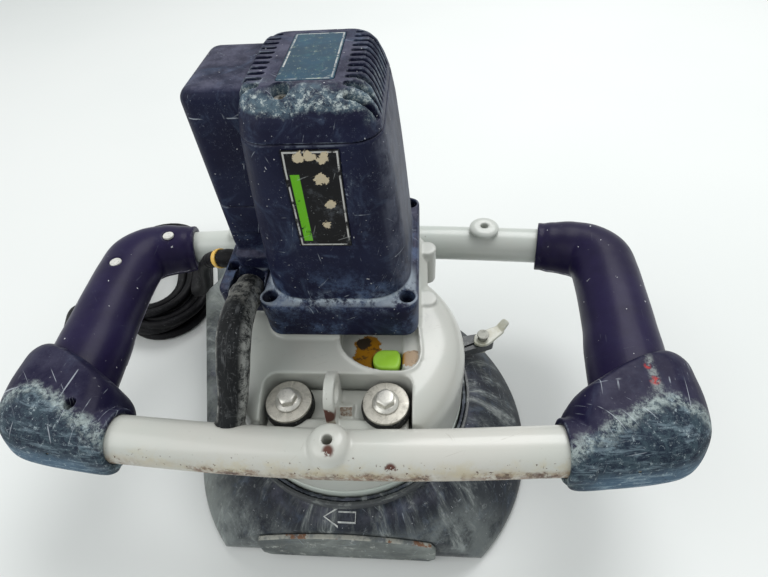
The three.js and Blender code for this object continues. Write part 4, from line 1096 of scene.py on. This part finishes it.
def pod_scuffs(f):
    """In front of a ridge the pods are rubbed to a mottled blue-grey, palest near the bottom."""
    x, y, z = f.xyz
    outward = f.node("ShaderNodeMath", {0: x}, operation="ABSOLUTE")[0]
    inner = f.sum(f.times(outward, 0.62), -0.1905)
    outer = f.sum(f.times(outward, -0.5), 0.0055)
    ridge = f.sum(f.sum(inner, outer, "MINIMUM"), y, "SUBTRACT")
    ragged = f.wobble(0.03, 38, 8, 0.75, seed=1.5)
    ahead = f.sum(ridge, ragged)
    zone = f.step(ahead, 0, 0.007)
    mottled = f.blot(0.42, 0.6, 150, 9, 0.82, warp=0.5, seed=2.5)
    f.layer((zone, 0.75), (0.012, 0.022, 0.036), 0.6)
    f.layer((zone, mottled, 0.5), (0.07, 0.11, 0.13), 0.65)
    crest = f.times(f.between(ahead, 0.001, 0.009, 0.004), f.blot(0.42, 0.58, 230, 8, 0.82, seed=4.5))
    f.layer((crest, 0.8), (0.36, 0.42, 0.41), 0.7)
    low = f.times(f.step(f.sum(z, f.times(ragged, 0.5)), 0.128, 0.116), f.step(ahead, 0.012, 0.026))
    f.layer((low, 0.6), (0.09, 0.165, 0.25), 0.6)
    streaks = f.noise(420, 6, 0.75, (0.1, 0.3, 1), (0, 0, 12), 0.3, 3.5)
    f.layer((f.either(low, f.times(zone, 0.5)), f.step(streaks, 0.5, 0.64), 0.7), (0.3, 0.4, 0.46), 0.65)
    f.layer((zone, f.blot(0.55, 0.64, 300, 9, 0.85, seed=5.5), 0.8), (0.42, 0.5, 0.53), 0.7)
    f.layer((low, f.blot(0.56, 0.66, 200, 8, 0.82, seed=8.5), 0.7), (0.015, 0.025, 0.045), 0.6)
    for i, turn in enumerate(SCRATCH_TURNS[1:4]):
        f.layer((f.lines(800, turn, 0.7, 21 + i, 26, 0.5), 0.5), (0.55, 0.6, 0.66), 0.6, -0.2)
    stripe = f.times(f.between(x, 0.1715, 0.1765, 0.0016), f.between(y, -0.087, -0.06, 0.003),
                     f.step(z, 0.132, 0.135))
    f.layer((stripe, f.blot(0.42, 0.58, 190, 7, 0.8, seed=7.5), 0.7), (0.3, 0.33, 0.32), 0.7)
    spot = f.either(f.near((173.5, -36, 139), 2.4, 1.2), f.near((172.5, -27, 139.5), 1.6, 1))
    spot = f.times(spot, f.blot(0.4, 0.52, 300, 5, 0.7, seed=6.5))
    f.layer((spot, 0.9), (0.42, 0.03, 0.025), 0.6)


def make_grip(side, sign, ridge_highlight_paint):
    path = smooth_path(side_path(GRIP, sign), 100)
    grip = sweep("handle_" + side, path, GRIP_RADII, 72)
    weld(grip, bar("collar", path[0], path[3], 18.6, 64))
    carve(grip, tube_space(REAR_TUBE, FIT_GAP))
    if sign > 0:
        carve(grip, prism("switch_way", rounded_rect(166, 191, 2, 52, 4), 80, 96.5))
    else:
        carve(grip, *[cylinder("stud_way", x, y, 4.5, z - 0.1, 145) for x, y, z in STUDS])
    cast(grip, 0.85, 3)
    finish_piece(grip, grip_plastic, "grip_plastic", side + "_grip")

    turn = radians(-24 if sign > 0 else 204)
    line = []
    for i, (across, upright) in enumerate(frames_along(path)):
        if 6 <= i <= 84:
            ru, rv = radii_at(GRIP_RADII, i / (len(path) - 1))
            line.append(path[i] + across * ru * cos(turn) + upright * rv * sin(turn))
    # a thin parting-line ridge along the grip's inner side, coloured pale as a painted edge highlight
    seam = sweep("parting_line_with_painted_highlight_" + side, line, [(0.35, 0.35)] * 2, 10)
    finish_piece(seam, ridge_highlight_paint, "grip_plastic")


def make_pod(side, sign, pod_plastic):
    outline = smooth_path(POD + POD[:1], 102)[:-1]
    rings = []
    for z, size in POD_RINGS:
        middle = POD_LOW if z < POD_SPLIT else POD_HIGH
        rings.append([(sign * min(x, 206), y, z) for x, y in middle + (outline - middle) * size])
    pod = loft("pod_" + side, rings)
    weld(pod, bar("collar", (sign * 123.5, -67.6, 119), (sign * 136, -67.2, 119), TUBE_RADIUS + 3.6, 64))
    wide = [(a + FIT_GAP, b + FIT_GAP) for a, b in GRIP_RADII]
    carve(pod, tube_space(FRONT_TUBE, FIT_GAP),
          sweep("grip_way", smooth_path(side_path(GRIP, sign), 60), wide))
    if sign < 0:
        carve(pod, cylinder("screw_hole", -148.4, -56.9, 3.5, 126, 150))
    cast(pod, 0.8, 4)
    finish_piece(pod, pod_plastic, "navy_plastic", side + "_pod")


def make_grips():
    base, second = (0.008, 0.0065, 0.027), (0.012, 0.0105, 0.034)
    pod_plastic = worn_plastic("pod_plastic", base, second, 0.42, 0.35, 1.3, pod_scuffs)
    # the ridge is a real parting line; its pale colour and paler patches are a painted highlight along the
    # grip's inner edge
    seam = Finish("parting_line_with_painted_highlight", (0.16, 0.15, 0.22), 0.6)
    seam.layer(seam.blot(0.46, 0.6, 160, 5, 0.7), (0.45, 0.45, 0.5))
    ridge_highlight_paint = seam.done(0.3, 0.05)
    for side, sign in (("left", -1), ("right", 1)):
        make_grip(side, sign, ridge_highlight_paint)
        make_pod(side, sign, pod_plastic)


def make_studs():
    f = Finish("stud_pale", (0.62, 0.62, 0.58), 0.5)
    f.layer(f.blot(0.45, 0.6, 400, 4), (0.5, 0.5, 0.47))
    f.layer((f.blot(0.62, 0.68, 900, 3), 0.6), (0.15, 0.15, 0.16))
    pale = f.done(0.3, 0.05)
    for node, (x, y, z) in zip(("grip_stud_rear", "grip_stud_side"), STUDS):
        disc = turned(node + "_piece", soften(box(0, 4.2, z, z + 2), 0.6), 48, x, y)
        finish_piece(crisp(disc), pale, "stud_plastic", node)


def make_switch():
    paddle = cast(soft_block("switch_lever", rounded_rect(168, 189, 4, 50, 4), 86.5, 93, 2.4, 0.5), 0.5, 3)
    for y in range(14, 42, 4):
        carve(paddle, prism("groove", rounded_rect(170, 187, y, y + 1.2, 0.5, 2), 86, 87.2))
    black = worn_plastic("switch_plastic", (0.01, 0.01, 0.012), (0.02, 0.02, 0.022), 0.5, 0.5, 0.6)
    finish_piece(crisp(paddle), black, "label_film", "switch_paddle", body="switch")


# ------------------------------------------------------------ extraction hood
HOOD_CUT = -93
HOOD_WALL = 3
COLLAR_BORE = 77.4
ARROW_Y = -86
HOOD_PROFILE = [(79.2, 57.5), (91, 53), (106, 41), (118, 25.5), (126.5, 10), (129, 2.5)]
DUCT_HEADING = radians(90 + 17.6)
DUCT_ALONG = np.array((cos(DUCT_HEADING), sin(DUCT_HEADING)))
DUCT_INWARD = np.array((sin(DUCT_HEADING), -cos(DUCT_HEADING)))
DUCT_START = np.array((-114, -22)) + DUCT_INWARD * 31


def duct_body(name, shrink, start, end, spigot_start, spigot_end):
    box = rounded_rect(-31 + shrink, 31 - shrink, 2.5 + shrink * 0.99, 45 - shrink, 10, 7)
    circle = []
    for i in range(len(box)):
        a = radians(360 * i / len(box) + 5)
        circle.append(((22 - shrink) * cos(a), 25 + (22 - shrink) * sin(a)))
    rings = []
    for s, outline in ((start, box), (end, box), (spigot_start, circle), (spigot_end, circle)):
        ring = []
        for w, z in outline:
            spot = DUCT_START + DUCT_ALONG * s + DUCT_INWARD * w
            ring.append((spot[0], spot[1], z))
        rings.append(ring)
    return loft(name, rings)


def dome(name, shrink, floor):
    inner = smooth_path([(r - shrink, z - shrink * 0.8) for r, z in HOOD_PROFILE], 36)
    inner = [tuple(p) for p in inner][::-1]
    return turned(name, [(0, floor), (129 - shrink, floor)] + inner + [(0, 57.5 - shrink * 0.8)], 160)


def in_front_of(y):
    return prism("front", box(-300, 300, -300, y), -50, 150)


def flap_arch(scale=1, drop=0):
    arch = []
    for i in range(41):
        x = 59 - 118 * i / 40
        u = abs(x) / 59
        arch.append(((x - 1) * scale, 46.5 - 11.5 * u * u - (8 * max(0, (u - 0.93) / 0.07) ** 2) - drop))
    return arch


def hood_dust(f):
    """Dusty grey-green smears, mostly radial, over the charcoal moulding."""
    x = f.xyz[0]
    y = f.sum(f.xyz[1], MID_Y / 1000)
    radius = f.sum(f.sum(f.times(x, x), f.times(y, y)), 0.5, "POWER")
    angle = f.sum(y, x, "ARCTAN2")
    flow = {0: f.times(angle, 0.11), 1: f.times(radius, 0.2), 2: f.times(f.xyz[2], 0.3)}
    radial = f.noise(85, 8, 0.75, warp=0.5, place=f.node("ShaderNodeCombineXYZ", flow)[0])
    broad = f.blot(0.38, 0.62, 13, 5, 0.65, seed=2)
    f.layer((f.step(radial, 0.42, 0.64), broad, 0.62), (0.22, 0.245, 0.24), 0.7, 0.1)
    f.layer((f.step(radial, 0.53, 0.66), broad, 0.7), (0.42, 0.45, 0.44), 0.7, 0.1)
    left = f.step(x, -0.06, -0.12)
    f.layer((left, f.blot(0.3, 0.6, 30, 7, 0.7, seed=4), 0.62), (0.3, 0.33, 0.31), 0.75, 0.1)
    front = f.times(f.step(f.xyz[1], -0.1, -0.128), f.step(f.xyz[2], 0.052, 0.04))
    f.layer((front, f.blot(0.35, 0.6, 40, 8, 0.75, seed=6), 0.5), (0.26, 0.29, 0.285), 0.75, 0.1)
    f.layer((f.blot(0.56, 0.68, 150, 8, 0.8, seed=8), 0.45), (0.36, 0.38, 0.38), 0.75, 0.1)
    foot = f.times(f.step(f.xyz[2], 0.012, 0.003), 0.35)
    f.layer(foot, (0.35, 0.36, 0.35), 0.8)


hood_plastic = worn_plastic("hood_plastic", (0.018, 0.021, 0.028), (0.03, 0.035, 0.042), 0.5, 0.9, 0.9,
                            hood_dust)


def make_hood():
    shell = carve(dome("hood_body", 0, 2.5), in_front_of(HOOD_CUT))
    weld(shell, duct_body("duct", 0, -8, 143, 158, 197))
    carve(shell, carve(dome("hollow", HOOD_WALL, 0), in_front_of(HOOD_CUT + HOOD_WALL)),
          duct_body("duct_hollow", HOOD_WALL, -6, 141, 158, 200))
    weld(shell, turned("collar", box(COLLAR_BORE, 80, 52, 66), 160))
    carve(shell, cylinder("spindle_way", 0, 0, COLLAR_BORE, 40, 70, 160),
          prism("slit", [(70, 30), (90, 36), (88, 42), (68, 38)], 58.5, 70),
          prism("window", flap_arch(0.9, 7) + [(-54, -5), (52, -5)], -100, -85, "xz"))
    cast(shell, 1.1, 3)
    finish_piece(shell, hood_plastic, "hood_moulding", "hood_shell", body="hood")


def make_arrow():
    """The outline of an arrow that follows the dome's skin and shows which way the wheel turns."""
    outer = [(-12.5, 0), (-3, 5.6), (-3, 3.2), (8, 3.2), (8, -3.2), (-3, -3.2), (-3, -5.6)]
    inner = inset(outer[::-1], 0.85)
    arrow = prism("arrow_outline", [(x, y + ARROW_Y) for x, y in outer], 40, 60)
    carve(arrow, prism("arrow_hollow", [(x, y + ARROW_Y) for x, y in inner], 30, 70))
    carve(common(arrow, dome("skin", -0.5, 2.5)), dome("under", 0.6, 0))
    f = Finish("arrow_pale", (0.4, 0.42, 0.42), 0.6)
    f.layer(f.blot(0.45, 0.6, 260, 6, 0.7), (0.6, 0.62, 0.6))
    f.layer((f.blot(0.55, 0.65, 120, 5, 0.7, seed=3), 0.8), (0.1, 0.11, 0.12))
    finish_piece(crisp(arrow), f.done(0.4, 0.1), "hood_moulding", body="hood")


def flap_marks(f):
    """Grey smears over the flap, and pale, rust-flecked wear along its top edge."""
    f.layer((f.blot(0.4, 0.65, 24, 8, 0.7, seed=2), 0.8), (0.26, 0.285, 0.27), 0.7)
    f.layer((f.blot(0.55, 0.66, 110, 7, 0.8, seed=4), 0.7), (0.55, 0.56, 0.52), 0.7)
    top = f.times(f.step(f.facing[2], 0.3, 0.7), f.step(f.xyz[2], 0.03, 0.036))
    f.layer((top, f.blot(0.4, 0.6, 90, 6, 0.7, seed=7), 0.8), (0.42, 0.42, 0.37), 0.7)
    f.layer((top, f.blot(0.55, 0.6, 60, 6, 0.7, seed=9)), (0.2, 0.11, 0.07), 0.8)


def make_flap():
    outline = flap_arch() + [(-60, 9), (-56, 4), (54, 4), (58, 9)]
    flap = cast(prism("flap_plate", outline, HOOD_CUT - 0.4, HOOD_CUT - 3.6, "xz"), 0.6, 2)
    paint = worn_plastic("flap_plastic", (0.07, 0.08, 0.08), (0.12, 0.135, 0.13), 0.5, 1, 0.8, flap_marks)
    finish_piece(flap, paint, "flap_moulding", "edge_flap", body="flap")


def make_brush():
    rng = np.random.default_rng(7)
    start = asin((HOOD_CUT + 5) / 117.5)
    span = pi - 2 * start
    count = 1100
    rings = []
    for i in range(count + 1):
        a = start + span * i / count
        tuft = 0.35 if i % 4 < 2 else -0.25
        low = max(0, 0.25 + 0.3 * rng.random() - 0.3 * (i % 3 == 0))
        outer = 120.6 + tuft + 0.3 * rng.random()
        inner = 114.4 - tuft - 0.3 * rng.random()
        ring = [(inner, low), (outer, low), (120.6, 3), (120.8, 8.4), (114.2, 8.4), (114.4, 3)]
        rings.append([(r * cos(a), r * sin(a), z) for r, z in ring])
    brush = loft("bristles", rings)
    f = Finish("bristle_nylon", (0.012, 0.012, 0.014), 0.6)
    around = f.sum(f.sum(f.xyz[1], MID_Y / 1000), f.xyz[0], "ARCTAN2")
    flow = {0: f.times(around, 0.117), 2: f.times(f.xyz[2], 0.06)}
    strands = f.blot(0.5, 0.62, 2600, 2, 0.5, place=f.node("ShaderNodeCombineXYZ", flow)[0])
    f.layer((strands, 0.7), (0.05, 0.05, 0.055), 0.7, 0.8)
    f.layer((f.blot(0.5, 0.7, 150, 5, 0.7), 0.5), (0.22, 0.22, 0.2), 0.85)
    finish_piece(crisp(brush), f.done(0.8, 0.1), "bristle", "brush_ring", body="brush")


CLAMP_BORE = 80.4
CLAMP_LOW, CLAMP_HIGH = 58.6, 66.4
PIN = (95, 43)


def band_wear(f):
    """The band's paint is gone and dusty except at the clamp's ear."""
    front = f.step(f.sum(f.xyz[1], f.times(f.xyz[0], -0.5)), 0, -0.03)
    f.layer((front, 0.96), (0.03, 0.034, 0.04), 0.6)
    f.layer((front, f.blot(0.52, 0.64, 90, 8, 0.8, seed=2), 0.6), (0.25, 0.27, 0.26), 0.7)


def make_band():
    profile = box(CLAMP_BORE, CLAMP_BORE + 2, CLAMP_LOW, CLAMP_HIGH)
    band = turned("band", soften(profile, 0.4, 2, True), 200)
    outline = soften([(75, 30.5), (104, 41), (103, 47.5), (97, 50.5), (68, 44)], 2.5, 4, True)
    ear = prism("ear", outline, CLAMP_LOW, CLAMP_HIGH)
    weld(band, carve(ear, cylinder("drum", 0, 0, CLAMP_BORE, 50, 70, 160)))
    slit = spun(box(65, 120, -0.8, 0.8), radians(24.35))
    carve(band, prism("slit", slit, 50, 70), cylinder("pin_way", *PIN, 3.3, 50, 80))
    paint = painted("band_paint", (0.5, 0.52, 0.5), band_wear)
    finish_piece(crisp(band), paint, "grey_paint", "clamp_band", body="hood")


def make_pin():
    profile = soften([(0, 56), (4.6, 56), (4.6, 58.2), (3, 58.3), (3, 73), (4.5, 73.1), (4.5, 74.6),
                      (0, 74.6)], 0.5)
    metal = bare_metal("pin_zinc", (0.4, 0.4, 0.36), 0.6, 0.8, 0.3)
    finish_piece(crisp(turned("pin", profile, 48, *PIN)), metal, "zinc_steel", "clamp_pin", body="hood")


def lever_wear(f):
    f.layer((f.blot(0.45, 0.62, 90, 6, 0.7, seed=3), 0.6), (0.42, 0.4, 0.28), 0.5)


def make_lever():
    arm = soften([(88, 38.5), (93, 36), (99, 37.2), (113, 50.5), (108.5, 56), (94.5, 50), (89, 46)], 2.5,
                 4, True)
    lever = soft_block("lever_arm", arm, 66.9, 69.6, 0.3, 0.6)
    thumb = soften([(106, 46), (112, 50.2), (118, 56.6), (113.4, 61), (104, 53)], 2.2, 4, True)
    tip = soft_block("tip", thumb, 67.4, 70, 0.5, 0.5)
    tip.data.transform(Matrix.Translation(at(111, 52.5, 70)) @ Matrix.Rotation(radians(14), 4, "X")
                       @ Matrix.Rotation(radians(-28), 4, "Y") @ Matrix.Translation(-at(112, 53, 69)))
    weld(lever, tip)
    carve(lever, cylinder("pin_way", *PIN, 3.3, 50, 80))
    cast(lever, 0.4, 4)
    paint = painted("lever_paint", (0.55, 0.55, 0.48), lever_wear)
    finish_piece(lever, paint, "lever_steel", "clamp_lever", body="lever")


def make_wheel():
    profile = soften([(11.3, 13.6), (26, 13.6), (34, 11), (50, 6.5), (56, 6.5), (56, 0.5), (75, 0.5),
                      (75, 8), (70, 11.5),
                      (34, 17.9), (11.3, 17.9)], 0.7, 3, True)
    wheel = turned("diamond_cup", profile, 160)
    for i in range(6):
        slot = spun(box(52, 80, -2, 2), radians(i * 60 + 30))
        carve(wheel, prism("slot", slot, 0, 5.5))
    for i in range(4):
        a = pi / 2 * i
        carve(wheel, cylinder("vent", 43 * cos(a), 43 * sin(a), 4, 0, 20, 32))
    f = Finish("cup_steel", (0.3, 0.31, 0.33), 0.42, 0.8)
    f.layer(f.blot(0.45, 0.65, 120, 6, 0.7), (0.2, 0.2, 0.21), 0.55)
    f.layer(f.step(f.xyz[2], 0.0062, 0.0056), (0.12, 0.12, 0.11), 0.9, 0.3)
    f.layer((f.step(f.xyz[2], 0.0062, 0.0056), f.blot(0.58, 0.66, 1400, 2, 0.5)), (0.5, 0.5, 0.44), 0.6,
            0.9)
    f.layer((f.blot(0.5, 0.68, 60, 7, 0.75, seed=4), 0.6), (0.4, 0.39, 0.36), 0.85)
    finish_piece(crisp(wheel), f.done(0.8, 0.15), "diamond", "cup_wheel", body="spindle_set")


# ------------------------------------------------------------ pieces inside the machine
def dress_inside():
    """Gives every carried-over piece of the frame a worked surface of its own."""
    steel = bare_metal("machined_steel", (0.5, 0.5, 0.51), 0.35, 0.25)
    copper = bare_metal("copper_bars", (0.6, 0.3, 0.14), 0.35, 0.3)
    laminations = bare_metal("laminations", (0.28, 0.2, 0.12), 0.5, 0.5, 0.6)
    carbon = rubbery("carbon", (0.03, 0.03, 0.03), 0.3)
    fan = worn_plastic("fan_plastic", (0.012, 0.012, 0.014), (0.03, 0.03, 0.032), 0.5, 0.8, 0.3)
    given = {"stator": laminations, "armature": laminations, "commutator": copper,
             "carbon_brush_left": carbon,
             "carbon_brush_right": carbon, "cooling_fan": fan}
    for name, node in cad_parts.items():
        for place in node.material_slots:
            place.link = "OBJECT"
            place.material = given.get(name, steel)


# ------------------------------------------------------------ floor and light
def make_stage():
    bpy.ops.mesh.primitive_plane_add(size=14, location=(0, 0, 0))
    floor = bpy.context.object
    floor.name = "floor"
    f = Finish("pale_floor", (0.71, 0.735, 0.725), 0.6)
    f.layer(f.blot(0.35, 0.65, 1.2, 3), (0.735, 0.755, 0.745))
    floor.data.materials.append(f.done(0.1, 0.02))
    world = bpy.data.worlds.new("room")
    bpy.context.scene.world = world
    world.use_nodes = True
    world.node_tree.nodes["Background"].inputs[0].default_value = (0.955, 0.98, 0.975, 1)
    world.node_tree.nodes["Background"].inputs[1].default_value = 0.66
    lamps = (("key", (0.5, 0.9, 1.7), 1.3, 24), ("fill", (-1.3, -0.7, 1.4), 1.5, 12))
    for name, spot, size, energy in lamps:
        data = bpy.data.lights.new(name, "AREA")
        data.size = size
        data.energy = energy
        lamp = bpy.data.objects.new(name, data)
        bpy.context.scene.collection.objects.link(lamp)
        lamp.location = spot
        lamp.rotation_euler = (Vector((0, 0, 0.1)) - Vector(spot)).to_track_quat("-Z", "Y").to_euler()
    bpy.context.scene.view_settings.view_transform = "Standard"


make_motor()
make_films()
make_screws()
make_box()
make_sleeve()
make_housing()
make_button()
make_front_tube()
make_rear_tube()
make_buffers()
make_grips()
make_studs()
make_switch()
make_hood()
make_arrow()
make_flap()
make_brush()
make_band()
make_pin()
make_lever()
make_wheel()
dress_inside()
make_stage()
